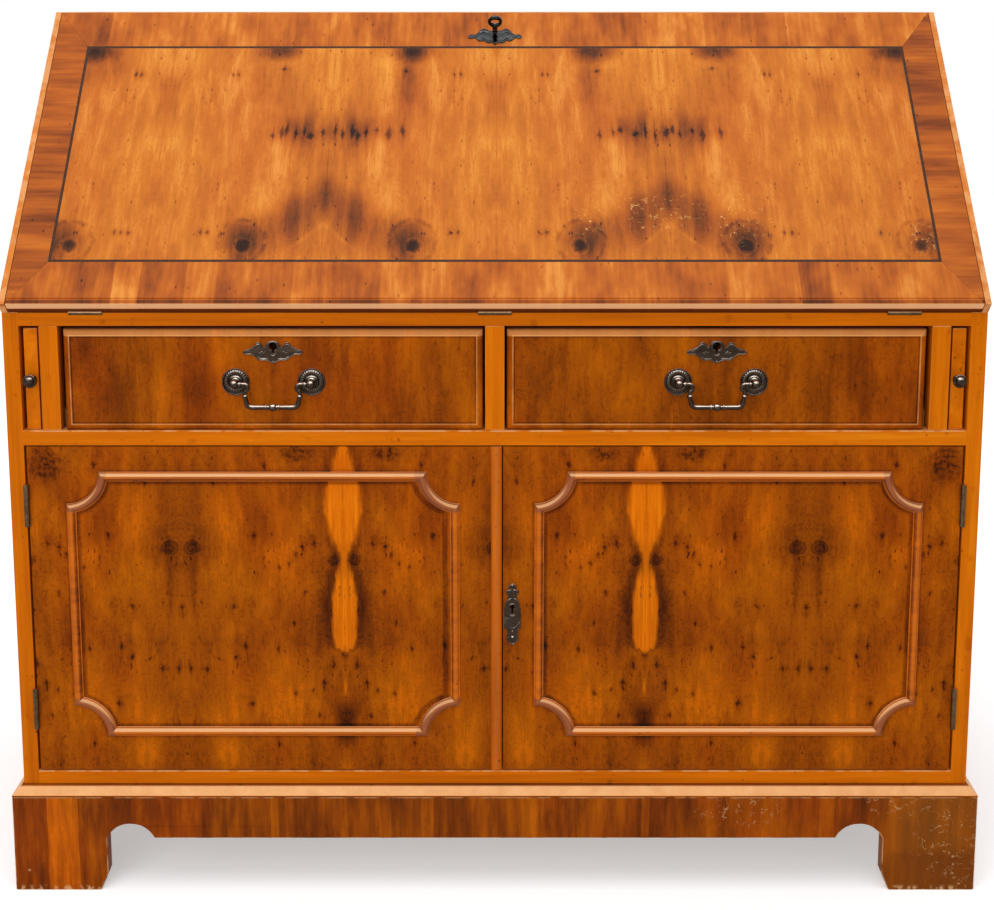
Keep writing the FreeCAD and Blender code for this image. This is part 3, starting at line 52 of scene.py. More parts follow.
Colour = tuple[float, float, float]
Stops = Sequence[tuple[float, Union[Colour, float]]]
Number = Union["Field", float]
Mark = tuple[float, float, float, float]
Line = Sequence[tuple[float, float]]

MM = 0.001
ORIGIN_Y = 0.2314
HINGE_Z = 0.699
SLOPE = math.radians(46.49868)
FALL_FACE = 0.0184
KEY_S = 0.40276
DRAWER_MID = 0.2530
DRAWER_X = (0.0136, 0.4924)
DRAWER_Z = (0.5618, 0.6795)
DRAWER_FACE = 0.0015 - ORIGIN_Y
DRAWER_PLATE_Z = 0.6535
HANDLE_Z = 0.6185
HANDLE_CENTRES = 0.087
BAIL_Y = -0.012 - ORIGIN_Y
DOOR_FACE = 0.0003 - ORIGIN_Y
DOOR_PLATE = (0.0205, 0.341)
PLINTH_TOP = 0.118
FOOT_MOULD_RISE = 0.0115
MID_RAIL_TOP = 0.5615
BOTTOM_RAIL_TOP = 0.1460


class Field:
    """A number that varies over a surface: one socket of a finish's graph, with arithmetic."""

    def __init__(self, graph: "Graph", socket: bpy.types.NodeSocket) -> None:
        """Keep the graph and the socket."""
        self.graph = graph
        self.socket = socket

    def __add__(self, other: Number) -> "Field":
        """Sum."""
        return self.graph.math("ADD", self, other)

    __radd__ = __add__

    def __sub__(self, other: Number) -> "Field":
        """Difference."""
        return self.graph.math("SUBTRACT", self, other)

    def __rsub__(self, other: Number) -> "Field":
        """Difference, the other way round."""
        return self.graph.math("SUBTRACT", other, self)

    def __mul__(self, other: Number) -> "Field":
        """Product."""
        return self.graph.math("MULTIPLY", self, other)

    __rmul__ = __mul__

    def __truediv__(self, other: Number) -> "Field":
        """Quotient."""
        return self.graph.math("DIVIDE", self, other)

    def __abs__(self) -> "Field":
        """Size without sign."""
        return self.graph.math("ABSOLUTE", self)

    def least(self, other: Number) -> "Field":
        """The smaller of two."""
        return self.graph.math("MINIMUM", self, other)

    def most(self, other: Number) -> "Field":
        """The larger of two."""
        return self.graph.math("MAXIMUM", self, other)

    def fold(self, width: float) -> "Field":
        """Back and forth between 0 and width, as book-matched leaves are."""
        return self.graph.math("PINGPONG", self, width)

    def wave(self) -> "Field":
        """Sine of the field."""
        return self.graph.math("SINE", self)

    def rise(self, low: Number, high: Number) -> "Field":
        """Soft step from 0 at low to 1 at high."""
        node = self.graph.node("ShaderNodeMapRange", interpolation_type="SMOOTHSTEP")
        self.graph.put(node.inputs["Value"], self)
        self.graph.put(node.inputs["From Min"], low)
        self.graph.put(node.inputs["From Max"], high)
        return Field(self.graph, node.outputs["Result"])

    def fall(self, low: Number, high: Number) -> "Field":
        """Soft step from 1 at low to 0 at high."""
        return 1.0 - self.rise(low, high)

    def line(self, at: Number, inner: float, outer: float) -> "Field":
        """1 within inner of a value, 0 beyond outer of it."""
        return abs(self - at).fall(inner, outer)


class Graph:
    """Node graph of one material, with short ways to add to it."""

    def __init__(self, name: str) -> None:
        """Start an empty material.

        Args:
            name: The finish's name.
        """
        self.material = bpy.data.materials.new(name)
        self.material.use_nodes = True
        self.tree = self.material.node_tree
        self.tree.nodes.clear()

    def node(self, kind: str, **settings: object) -> bpy.types.Node:
        """Add a node.

        Args:
            kind: Blender's node type.
            settings: Properties of the node to set.

        Returns:
            The new node.
        """
        node = self.tree.nodes.new(kind)
        for key, value in settings.items():
            setattr(node, key, value)
        return node

    def put(self, socket: bpy.types.NodeSocket, value: object) -> None:
        """Link a field or socket to an input, or set the input's own value."""
        if isinstance(value, Field):
            self.tree.links.new(value.socket, socket)
        elif isinstance(value, bpy.types.NodeSocket):
            self.tree.links.new(value, socket)
        else:
            socket.default_value = value

    def math(self, operation: str, first: Number, second: Number = 0.0) -> Field:
        """One arithmetic step on fields or numbers."""
        node = self.node("ShaderNodeMath", operation=operation)
        self.put(node.inputs[0], first)
        self.put(node.inputs[1], second)
        return Field(self, node.outputs[0])

    def split(self, output: str) -> tuple[Field, Field, Field]:
        """Three fields of one output of the coordinates."""
        where = self.node("ShaderNodeTexCoord")
        split = self.node("ShaderNodeSeparateXYZ")
        self.tree.links.new(where.outputs[output], split.inputs[0])
        x, y, z = (Field(self, split.outputs[i]) for i in range(3))
        return x, y, z

    def place(self) -> tuple[Field, Field, Field]:
        """Position on the piece at rest, as three fields in metres."""
        return self.split("Object")

    def facing(self) -> tuple[Field, Field, Field]:
        """Direction that the piece's own surface faces at rest, as three fields."""
        return self.split("Normal")

    def point(self, x: Number, y: Number, z: Number = 0.0) -> bpy.types.NodeSocket:
        """Vector from three numbers or fields."""
        node = self.node("ShaderNodeCombineXYZ")
        for socket, value in zip(node.inputs, (x, y, z)):
            self.put(socket, value)
        return node.outputs[0]

    def noise(self, x: Number, y: Number, z: Number = 0.0, detail: float = 3.0, rough: float = 0.55) -> Field:
        """Soft random field, about 0.5 in the middle, one blot for each unit of its coordinates."""
        node = self.node("ShaderNodeTexNoise")
        self.put(node.inputs["Vector"], self.point(x, y, z))
        node.inputs["Scale"].default_value = 1.0
        node.inputs["Detail"].default_value = detail
        node.inputs["Roughness"].default_value = rough
        return Field(self, node.outputs[0])

    def swing(self, x: Number, y: Number, z: Number = 0.0, detail: float = 3.0) -> Field:
        """Soft random field about 0."""
        return self.noise(x, y, z, detail) - 0.5

    def cells(self, x: Number, y: Number, z: Number = 0.0) -> tuple[Field, Field]:
        """Distance to the nearest of scattered points, and a random number for that point."""
        node = self.node("ShaderNodeTexVoronoi")
        self.put(node.inputs["Vector"], self.point(x, y, z))
        node.inputs["Scale"].default_value = 1.0
        split = self.node("ShaderNodeSeparateColor")
        self.tree.links.new(node.outputs["Color"], split.inputs[0])
        return Field(self, node.outputs["Distance"]), Field(self, split.outputs[0])

    def ramp(self, value: Field, stops: Stops, steps: bool = False) -> bpy.types.NodeSocket:
        """Colours or greys along a scale from 0 to 1.

        Args:
            value: What picks the colour.
            stops: Places on the scale with their colours or greys.
            steps: Hard steps in place of a smooth run.

        Returns:
            The colour socket.
        """
        node = self.node("ShaderNodeValToRGB")
        node.color_ramp.interpolation = "CONSTANT" if steps else "LINEAR"
        elements = node.color_ramp.elements
        while len(elements) < len(stops):
            elements.new(0.5)
        for element, (at, colour) in zip(elements, stops):
            element.position = at
            tint = (colour,) * 3 if isinstance(colour, float) else colour
            element.color = (*tint, 1.0)
        self.put(node.inputs[0], value)
        return node.outputs[0]

    def curve(self, value: Field, stops: Stops, steps: bool = False) -> Field:
        """Number along a scale from 0 to 1, read from grey stops."""
        return Field(self, self.ramp(value, stops, steps))

    def mix(self, factor: Number, first: object, second: object, mode: str = "MIX") -> bpy.types.NodeSocket:
        """Blend of two colours."""
        node = self.node("ShaderNodeMix", data_type="RGBA", blend_type=mode)
        self.put(node.inputs[0], factor)
        for socket, value in ((node.inputs[6], first), (node.inputs[7], second)):
            self.put(socket, (*value, 1.0) if isinstance(value, tuple) else value)
        return node.outputs[2]

    def vector(self, operation: str, *values: object) -> bpy.types.Node:
        """One step of vector arithmetic."""
        node = self.node("ShaderNodeVectorMath", operation=operation)
        for socket, value in zip(node.inputs, values):
            self.put(socket, value)
        return node

    def near(self, where: bpy.types.NodeSocket, marks: Iterable[Mark], pointed: bool = False) -> Field:
        """Distance to the nearest of some marks, 1 on a mark's edge.

        Args:
            where: Place on the surface in millimetres.
            marks: Centre and half sizes of each mark, in millimetres.
            pointed: Spindles in place of ovals.

        Returns:
            The distance in units of the mark's half sizes.
        """
        nearest: Optional[Field] = None
        for cx, cy, rx, ry in marks:
            off = self.vector("MULTIPLY_ADD", where, (1 / rx, 1 / ry, 0.0), (-cx / rx, -cy / ry, 0.0))
            if pointed:
                size = self.vector("ABSOLUTE", off.outputs[0])
                size = self.vector("DOT_PRODUCT", size.outputs[0], (1.0, 1.0, 0.0))
            else:
                size = self.vector("LENGTH", off.outputs[0])
            here = Field(self, size.outputs["Value"])
            nearest = here if nearest is None else nearest.least(here)
        return nearest

    def spots(self, where: bpy.types.NodeSocket, marks: Iterable[Mark]) -> Field:
        """1 in each mark and 0 away from them, with soft edges."""
        return self.near(where, marks).fall(0.4, 1.1)

    def flecks(self, where: bpy.types.NodeSocket, marks: Iterable[Mark]) -> Field:
        """Dark spindles, each with a faint halo."""
        away = self.near(where, marks, True)
        return away.fall(0.25, 1.0) * 0.78 + away.fall(0.5, 2.6) * 0.22

    def finish(self, colour: object, roughness: object, relief: Optional[Field], depth: float,
               **settings: object) -> bpy.types.Material:
        """Close the graph with a shader.

        Args:
            colour: Base colour socket.
            roughness: Roughness field or number.
            relief: Height field of the fine relief, from 0 to 1.
            depth: Relief's depth in metres.
            settings: Other inputs of the shader, each one number.

        Returns:
            The finished material.
        """
        shader = self.node("ShaderNodeBsdfPrincipled")
        self.put(shader.inputs["Base Color"], colour)
        self.put(shader.inputs["Roughness"], roughness)
        for key, value in settings.items():
            shader.inputs[key.replace("_", " ")].default_value = value
        if relief is not None:
            bump = self.node("ShaderNodeBump")
            bump.inputs["Strength"].default_value = 0.6
            bump.inputs["Distance"].default_value = depth
            self.put(bump.inputs["Height"], relief)
            self.tree.links.new(bump.outputs[0], shader.inputs["Normal"])
        out = self.node("ShaderNodeOutputMaterial")
        self.tree.links.new(shader.outputs[0], out.inputs[0])
        return self.material


GOLD_YEW: Stops = (
    (0.0, (0.030, 0.011, 0.006)), (0.2, (0.10, 0.030, 0.010)), (0.4, (0.27, 0.064, 0.012)),
    (0.6, (0.45, 0.115, 0.014)), (0.8, (0.61, 0.180, 0.020)), (1.0, (0.78, 0.31, 0.045)),
)
RED_YEW: Stops = (
    (0.0, (0.026, 0.008, 0.004)), (0.2, (0.10, 0.026, 0.009)), (0.4, (0.25, 0.054, 0.011)),
    (0.6, (0.43, 0.098, 0.014)), (0.8, (0.57, 0.148, 0.018)), (1.0, (0.74, 0.27, 0.05)),
)
BROWN_YEW: Stops = (
    (0.0, (0.018, 0.005, 0.0015)), (0.2, (0.075, 0.014, 0.0015)), (0.4, (0.19, 0.037, 0.001)),
    (0.55, (0.30, 0.063, 0.001)), (0.7, (0.41, 0.096, 0.001)), (0.85, (0.62, 0.135, 0.001)),
    (1.0, (0.90, 0.24, 0.002)),
)
RUSSET_YEW: Stops = (
    (0.0, (0.016, 0.004, 0.0015)), (0.2, (0.075, 0.011, 0.0015)), (0.4, (0.18, 0.026, 0.001)),
    (0.55, (0.29, 0.044, 0.001)), (0.7, (0.40, 0.068, 0.001)), (0.85, (0.60, 0.115, 0.001)),
    (1.0, (0.88, 0.21, 0.002)),
)
RAIL_YEW: Stops = (
    (0.0, (0.04, 0.010, 0.001)), (0.25, (0.19, 0.035, 0.001)), (0.5, (0.48, 0.102, 0.001)),
    (0.7, (0.64, 0.150, 0.001)), (1.0, (0.86, 0.28, 0.008)),
)
PINK_WEAR_AND_HIGHLIGHT: Colour = (0.80, 0.37, 0.14)
CREAM_TOP_HIGHLIGHT: Colour = (0.86, 0.47, 0.21)
PALE_WEAR_AND_HIGHLIGHT: Colour = (0.99, 0.55, 0.24)
EDGE_WEAR_AND_HIGHLIGHT: Colour = (0.74, 0.32, 0.10)
NOSE_WEAR_AND_HIGHLIGHT: Colour = (0.88, 0.50, 0.25)
CHIPPED: Colour = (0.72, 0.42, 0.19)
SCRATCHED: Colour = (0.90, 0.52, 0.16)
SHADED: Colour = (0.085, 0.014, 0.001)
HOLLOW_CORNER_SHADE: Colour = (0.24, 0.075, 0.035)
FOOT_BROWN: Colour = (0.27, 0.088, 0.008)
DAMP_BROWN: Colour = (0.12, 0.026, 0.003)
GILT: Colour = (0.62, 0.42, 0.14)

FALL_LOW_STRIPS: Stops = (
    (0.0, 0.56), (0.107, 0.78), (0.134, 0.55), (0.180, 0.74), (0.211, 0.64), (0.29, 0.76),
    (0.325, 0.64), (0.38, 0.76), (0.411, 0.68), (0.525, 0.74), (0.566, 0.70), (0.71, 0.78),
    (0.81, 0.52), (0.842, 0.68), (0.914, 0.76),
)
FALL_HIGH_STRIPS: Stops = (
    (0.0, 0.60), (0.061, 0.74), (0.166, 0.76), (0.229, 0.64), (0.31, 0.72), (0.358, 0.62),
    (0.413, 0.66), (0.49, 0.74), (0.574, 0.62), (0.666, 0.76), (0.735, 0.62), (0.832, 0.78),
    (0.918, 0.70),
)
PLINTH_STRIPS: Stops = (
    (0.0, 0.50), (0.045, 0.72), (0.076, 0.47), (0.13, 0.51), (0.20, 0.46), (0.27, 0.64),
    (0.279, 0.46), (0.36, 0.51), (0.425, 0.64), (0.434, 0.47), (0.476, 0.56), (0.57, 0.48),
    (0.645, 0.64), (0.654, 0.47), (0.71, 0.52), (0.827, 0.64), (0.84, 0.48), (0.90, 0.54),
)


class Grain(Enum):
    """Way that the grain runs in a piece."""

    ACROSS = "across the front"
    UPRIGHT = "up and down"
    DEEP = "front to back"

    def order(self, x: Field, y: Field, z: Field) -> tuple[Field, Field, Field]:
        """Coordinates across the grain, along it, and the third."""
        if self is Grain.ACROSS:
            return z, x, y
        return (x, z, y) if self is Grain.UPRIGHT else (x, y, z)


@dataclass(frozen=True)
class Gloss:
    """Polish on a wood."""

    level: float = 0.025
    coat: float = 0.012

    def inputs(self) -> dict[str, float]:
        """Shader inputs of the polish."""
        return {"Specular_IOR_Level": self.level, "Coat_Weight": self.coat, "Coat_Roughness": 0.12}


def up_slope(y: Number, z: Number) -> Number:
    """Distance up the fall's slope from its hinge line."""
    return (y + ORIGIN_Y) * math.cos(SLOPE) + (z - HINGE_Z) * math.sin(SLOPE)


def off_slope(y: Number, z: Number) -> Number:
    """Distance out from the fall's slope at its hinge line."""
    return (z - HINGE_Z) * math.cos(SLOPE) - (y + ORIGIN_Y) * math.sin(SLOPE)


def moulding_corners(radius: float) -> list[Mark]:
    """Round marks about the four corners of the right door's moulding.

    Args:
        radius: Radius of the marks in millimetres.

    Returns:
        Centre and half sizes of each mark, in millimetres.
    """
    low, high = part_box("door_right_moulding")
    return [(cx / MM, cz / MM, radius, radius) for cx in (low.x, high.x) for cz in (low.z, high.z)]


def brown_yew(graph: Graph, tone: Field, drift: Field, share: float) -> bpy.types.NodeSocket:
    """Brown yew that turns russet in places.

    Args:
        graph: Finish's graph.
        tone: Lightness from 0 to 1.
        drift: Slow field that picks the russet places.
        share: How far those places turn.

    Returns:
        The colour socket.
    """
    russet = drift.rise(0.42, 0.60) * share
    return graph.mix(russet, graph.ramp(tone, BROWN_YEW), graph.ramp(tone, RUSSET_YEW))


def grain_tone(graph: Graph, across: Field, along: Field, depth: Number, seed: float) -> tuple[Field, Field]:
    """Grain of a straight piece.

    Args:
        graph: Finish's graph.
        across: Coordinate across the grain.
        along: Coordinate along the grain.
        depth: Third coordinate.
        seed: Shifts the pattern.

    Returns:
        Tone about 0, and relief from 0 to 1.
    """
    bands = graph.swing(across * 34.0, along * 1.7, depth * 20.0 + seed, 2.0)
    streaks = graph.swing(across * 150.0, along * 6.0, depth * 90.0 + seed)
    pores = graph.noise(across * 900.0, along * 26.0, depth * 500.0 + seed, 2.0)
    tone = bands * 0.5 + streaks * 0.42 + (pores - 0.5) * 0.22
    return tone, streaks * 0.4 + pores * 0.6


def worn_edge(graph: Graph, shaped: bool = False) -> Field:
    """1 on the rounded edges of a piece, 0 on its faces.

    Args:
        graph: Finish's graph.
        shaped: The board's lower edge is cut to curves, so that only edges of its front and back count.

    Returns:
        The field of the edges.
    """
    nx, ny, nz = graph.facing()
    edge = abs(nx * ny).most(abs(ny * nz))
    if not shaped:
        edge = edge.most(abs(nx * nz))
    return edge.rise(0.06, 0.25)


@dataclass(frozen=True)
class Figure:
    """Lively figure of cut yew: clouds, growth lines and burr contours."""

    clouds: float = 0.75
    streaks: float = 0.30
    lines: float = 0.02
    contours: float = 0.05

    def tone(self, g: Graph, across: Field, along: Field, seed: float) -> tuple[Field, Field, Field]:
        """Tone of the figure.

        Args:
            g: Finish's graph.
            across: Coordinate across the grain.
            along: Coordinate along the grain.
            seed: Shifts the pattern.

        Returns:
            Tone about 0, fine relief from 0 to 1, and a slow field for changes of hue.
        """
        drift = g.noise(across * 8.0, along * 3.2, seed, 2.0)
        cloud = g.noise(across * 25.0, along * 8.0, seed + 1.0, 4.0, 0.62) - 0.5
        streak = g.swing(across * 110.0, along * 9.0, seed + 2.0)
        fine = g.noise(across * 560.0, along * 34.0, seed + 3.0, 3.0)
        ripple = (across * 300.0 + drift * 60.0 + cloud * 22.0).wave()
        swirl = g.noise(across * 24.0, along * 14.0, seed + 4.0, 4.0)
        contour = (swirl * 16.0).fold(0.5).fall(0.02, 0.14)
        tone = cloud * self.clouds + streak * self.streaks + ripple * self.lines - contour * self.contours
        return tone + (fine - 0.5) * 0.22, fine, drift


@dataclass(frozen=True)
class FallVeneer:
    """Book-matched yew leaves in a crossbanded border, for the fall."""

    name: str = "fall_yew_veneer"
    half_width: float = 0.5522
    length: float = 0.4448
    seam: float = 0.0019
    leaf: float = 0.2015
    field_half: float = 0.5122
    field_low: float = 0.0575
    field_high: float = 0.3878
    side_band: float = 0.040
    top_band: float = 0.057
    arch_top: float = 0.176
    inner_arch_top: float = 0.116
    knots_at: tuple[float, ...] = (-490.8, -291.0, -94.0, 98.0, 290.0, 491.0)
    knots_up: float = 80.0
    strokes_up: float = 248.0
    gloss: Gloss = Gloss(0.06, 0.03)

    def build(self) -> bpy.types.Material:
        """Make the veneer's material."""
        g = Graph(self.name)
        x, y, z = g.place()
        s, off = up_slope(y, z), off_slope(y, z)
        leaves, fine, drift = self.leaves(g, x, s)
        inside = self.inside(x, s)
        nose = s.fall(0.0004, 0.0016)
        # Painted shade: the underside of the nose is darkened.
        under = nose * off.fall(0.0060, 0.0085)
        # Painted shade in the groove above the nose's bead.
        arris = s.line(0.0035, 0.0012, 0.0026) * off.rise(0.0170, 0.0180)
        tone = leaves * inside + self.border(g, x, s) * (1.0 - inside) - arris * 0.30
        red = (drift.rise(0.42, 0.62) * 0.8).most((1.0 - inside) * 0.75)
        colour = g.mix(red, g.ramp(tone, GOLD_YEW), g.ramp(tone, RED_YEW))
        colour = g.mix(self.scratches(g, x, s) * inside * 0.8, colour, SCRATCHED)
        # Painted highlight and wear on the rounded bead of the nose.
        colour = g.mix(nose * off.rise(0.0065, 0.0095) * 0.9, colour, NOSE_WEAR_AND_HIGHLIGHT)
        # Painted shade on the nose's underside.
        colour = g.mix(under, colour, SHADED)
        rough = 0.30 + g.noise(x * 14.0, s * 14.0, 4.0, 2.0) * 0.16
        return g.finish(colour, rough, fine * 0.6 + tone * 0.4, 0.00012, **self.gloss.inputs())

    def inside(self, x: Field, s: Field) -> Field:
        """1 inside the stringing, 0 on the border."""
        soft = 0.0002
        wide = abs(x).fall(self.field_half - soft, self.field_half + soft)
        above = s.rise(self.field_low - soft, self.field_low + soft)
        return wide * above * s.fall(self.field_high - soft, self.field_high + soft)

    def leaves(self, g: Graph, x: Field, s: Field) -> tuple[Field, Field, Field]:
        """Tone, fine relief and slow field of the matched leaves in the middle."""
        sway = g.swing(x * 11.0, s * 9.0, 1.0, 2.0)
        stir = g.swing(x * 60.0, s * 60.0, 6.0, 2.0)
        across = (x - self.seam + sway * 0.004).fold(self.leaf) + stir * 0.002
        up = s + sway * 0.010 + stir * 0.003
        inward = self.leaf - across
        figure, fine, drift = Figure(0.82, 0.34, 0.022, 0.06).tone(g, across, up, 3.1)
        tone = 0.81 + figure + g.swing(across * 22.0, up * 1.6, 12.0, 2.0) * 0.42
        shade = inward.fall(0.02, 0.12) * up.rise(0.05, 0.10) * up.fall(0.22, 0.31)
        tone = tone - shade * 0.12 - inward.fall(0.0, 0.02) * 0.04 - self.arch(g, inward, up, stir)
        haze = up.line(self.strokes_up * MM + 0.010, 0.006, 0.036) * inward.fall(0.05, 0.11)
        wobble = g.swing(x * 170.0, s * 170.0, 8.0, 2.0)
        spot = g.point((x + stir * 0.006 + wobble * 0.004) / MM, (s + stir * 0.006 + wobble * 0.006) / MM)
        tone = tone - haze * 0.17 + self.knots(g, spot)
        tone = tone - self.dark_marks(g, spot) * 0.46 - self.smudges(g, spot)
        pips, chance = g.cells((across + wobble * 0.002) * 190.0, (up + wobble * 0.003) * 80.0, 2.0)
        crowds = [(at, 96.0, 34.0, 16.0) for at in (-480, -300, -90, 96, 296, 486)]
        crowded = g.near(spot, crowds).fall(0.3, 1.1) * chance.rise(0.40, 0.50)
        tone = tone - pips.fall(0.10, 0.28) * chance.rise(0.86, 0.90).most(crowded) * 0.32
        return tone - across.least(inward).fall(0.0, 0.0011) * 0.08, fine, drift

    def arch(self, g: Graph, inward: Field, up: Field, stir: Field) -> Field:
        """Darkness of the pointed arch between each pair of knots."""
        inner = up - (self.inner_arch_top - inward * 0.95)
        crest = up - (self.arch_top - inward * 0.68) + stir * 0.010
        peak = crest.fall(-0.022, 0.020) * crest.rise(-0.086, -0.026)
        peak = peak * inward.fall(0.085, 0.125) * inner.rise(-0.030, 0.012)
        lobe = g.near(g.point(inward / MM, up / MM), ((96, 92, 34, 32),)).fall(0.2, 1.2)
        light = inner.line(-0.004, 0.0, 0.006) * inward.fall(0.02, 0.05)
        return peak.most(lobe * 0.9) * 0.27 - light * 0.10

    def scratches(self, g: Graph, x: Field, s: Field) -> Field:
        """Pale scratches on the right of the fall, from 0 to 1."""
        curl = g.noise(x * 75.0, s * 75.0, 7.0, 3.0)
        broken = g.noise(x * 120.0, s * 120.0, 9.0, 2.0).rise(0.50, 0.60)
        rubbed = ((193, 130, 62, 38), (285, 118, 50, 40), (112, 118, 26, 30), (496, 92, 24, 28))
        return curl.line(0.5, 0.004, 0.014) * broken * g.spots(g.point(x / MM, s / MM), rubbed)

    def knots(self, g: Graph, spot: bpy.types.NodeSocket) -> Field:
        """Change of tone of the ringed knots along the foot of the leaves."""
        cores = [(at, self.knots_up, 8.6, 9.6) for at in self.knots_at]
        ring = g.curve(g.near(spot, cores) / 4.0, (
            (0.0, 0.05), (0.10, 0.06), (0.17, 0.14), (0.24, 0.28), (0.31, 0.38), (0.38, 0.32),
            (0.52, 0.38), (0.75, 0.44), (1.0, 0.5)))
        halos = [(at + math.copysign(2.0, at), self.knots_up + 6.0, 27.0, 31.0) for at in self.knots_at]
        ragged = g.noise(*self.pair(g, spot), 0.0, 2.0).rise(0.40, 0.58)
        return (ring - 0.5) * 1.35 - g.near(spot, halos).line(1.0, 0.02, 0.16) * ragged * 0.18

    def pair(self, g: Graph, spot: bpy.types.NodeSocket) -> tuple[Field, Field]:
        """Slow coordinates of a place given in millimetres."""
        split = g.node("ShaderNodeSeparateXYZ")
        g.put(split.inputs[0], spot)
        return Field(g, split.outputs[0]) * 0.06, Field(g, split.outputs[1]) * 0.06

    def dark_marks(self, g: Graph, spot: bpy.types.NodeSocket) -> Field:
        """Row of dark spindles and the pips near the border."""
        strokes = (-268, -258, -252, -241, -230, -222, -208, -193, -184, -172, -166, -156, -143, -128, -111,
                   126, 143, 152, 170, 182, 194, 207, 215, 224, 238, 251, 273)
        marks = []
        for i, at in enumerate(strokes):
            up = self.strokes_up + (i * 7 % 5 - 2) * 2.2
            marks.append((at, up, 2.8 + (i * 3 % 4) * 0.9, 8.0 + (i * 5 % 6) * 2.0))
        high = (-445, -438, -324, -317, -50, -43, 59, 66, 334, 341, 451)
        low = (-442, -434, -425, -342, -334, -51, -43, 51, 60, 336, 345, 448)
        marks += [(at, 341.0, 3.4, 7.0) for at in high] + [(at, 99.0, 3.4, 6.0) for at in low]
        marks += [(at, up, 4.5, 6.0) for at, up in ((-262, 350), (-110, 347), (127, 347), (270, 351))]
        return g.flecks(spot, marks)

    def smudges(self, g: Graph, spot: bpy.types.NodeSocket) -> Field:
        """Dark burr smudges under the top border and the trails below them."""
        cores = [(at, 380, wide, tall) for at, wide, tall in (
            (-500, 34, 21), (-269, 30, 19), (-103, 32, 21), (123, 32, 21), (275, 30, 19), (500, 34, 19))]
        trails = ((-486, 350, 38, 44), (-266, 326, 26, 70), (-106, 318, 28, 78), (126, 320, 28, 76),
                  (272, 324, 26, 70), (490, 350, 34, 42))
        return g.near(spot, cores).fall(0.0, 1.3) * 0.62 + g.near(spot, trails).fall(0.1, 1.2) * 0.26

    def border(self, g: Graph, x: Field, s: Field) -> Field:
        """Tone of the crossbanded border, in short pieces."""
        upright = g.swing(x * 170.0, s * 14.0, 8.0)
        blot = g.swing(x * 36.0, s * 16.0, 8.5, 4.0)
        side = g.swing(x * 9.0, s * 210.0, 9.0)
        place = x * 0.9 + 0.5
        upper = s.rise(0.219, 0.221)
        low, high = (g.curve(place, strips, True) for strips in (FALL_LOW_STRIPS, FALL_HIGH_STRIPS))
        ends = low * (1.0 - upper) + high * upper + upright * 0.46 + blot
        flank = 0.54 + side * 0.42 + g.swing(x * 7.0, s * 40.0, 3.0, 4.0) * 1.10
        reach = (self.half_width - abs(x)) / self.side_band
        edge = (s / self.field_low).least((self.length - s) / self.top_band)
        mitre = (reach - edge).rise(-0.012, 0.012)
        joint = (reach - edge).line(0.0, 0.0, 0.02)
        pips, chance = g.cells(x * 130.0, s * 70.0, 4.0)
        dots = pips.fall(0.08, 0.20) * chance.rise(0.80, 0.86) * 0.30
        return ends * mitre + flank * (1.0 - mitre) - joint * 0.2 - dots


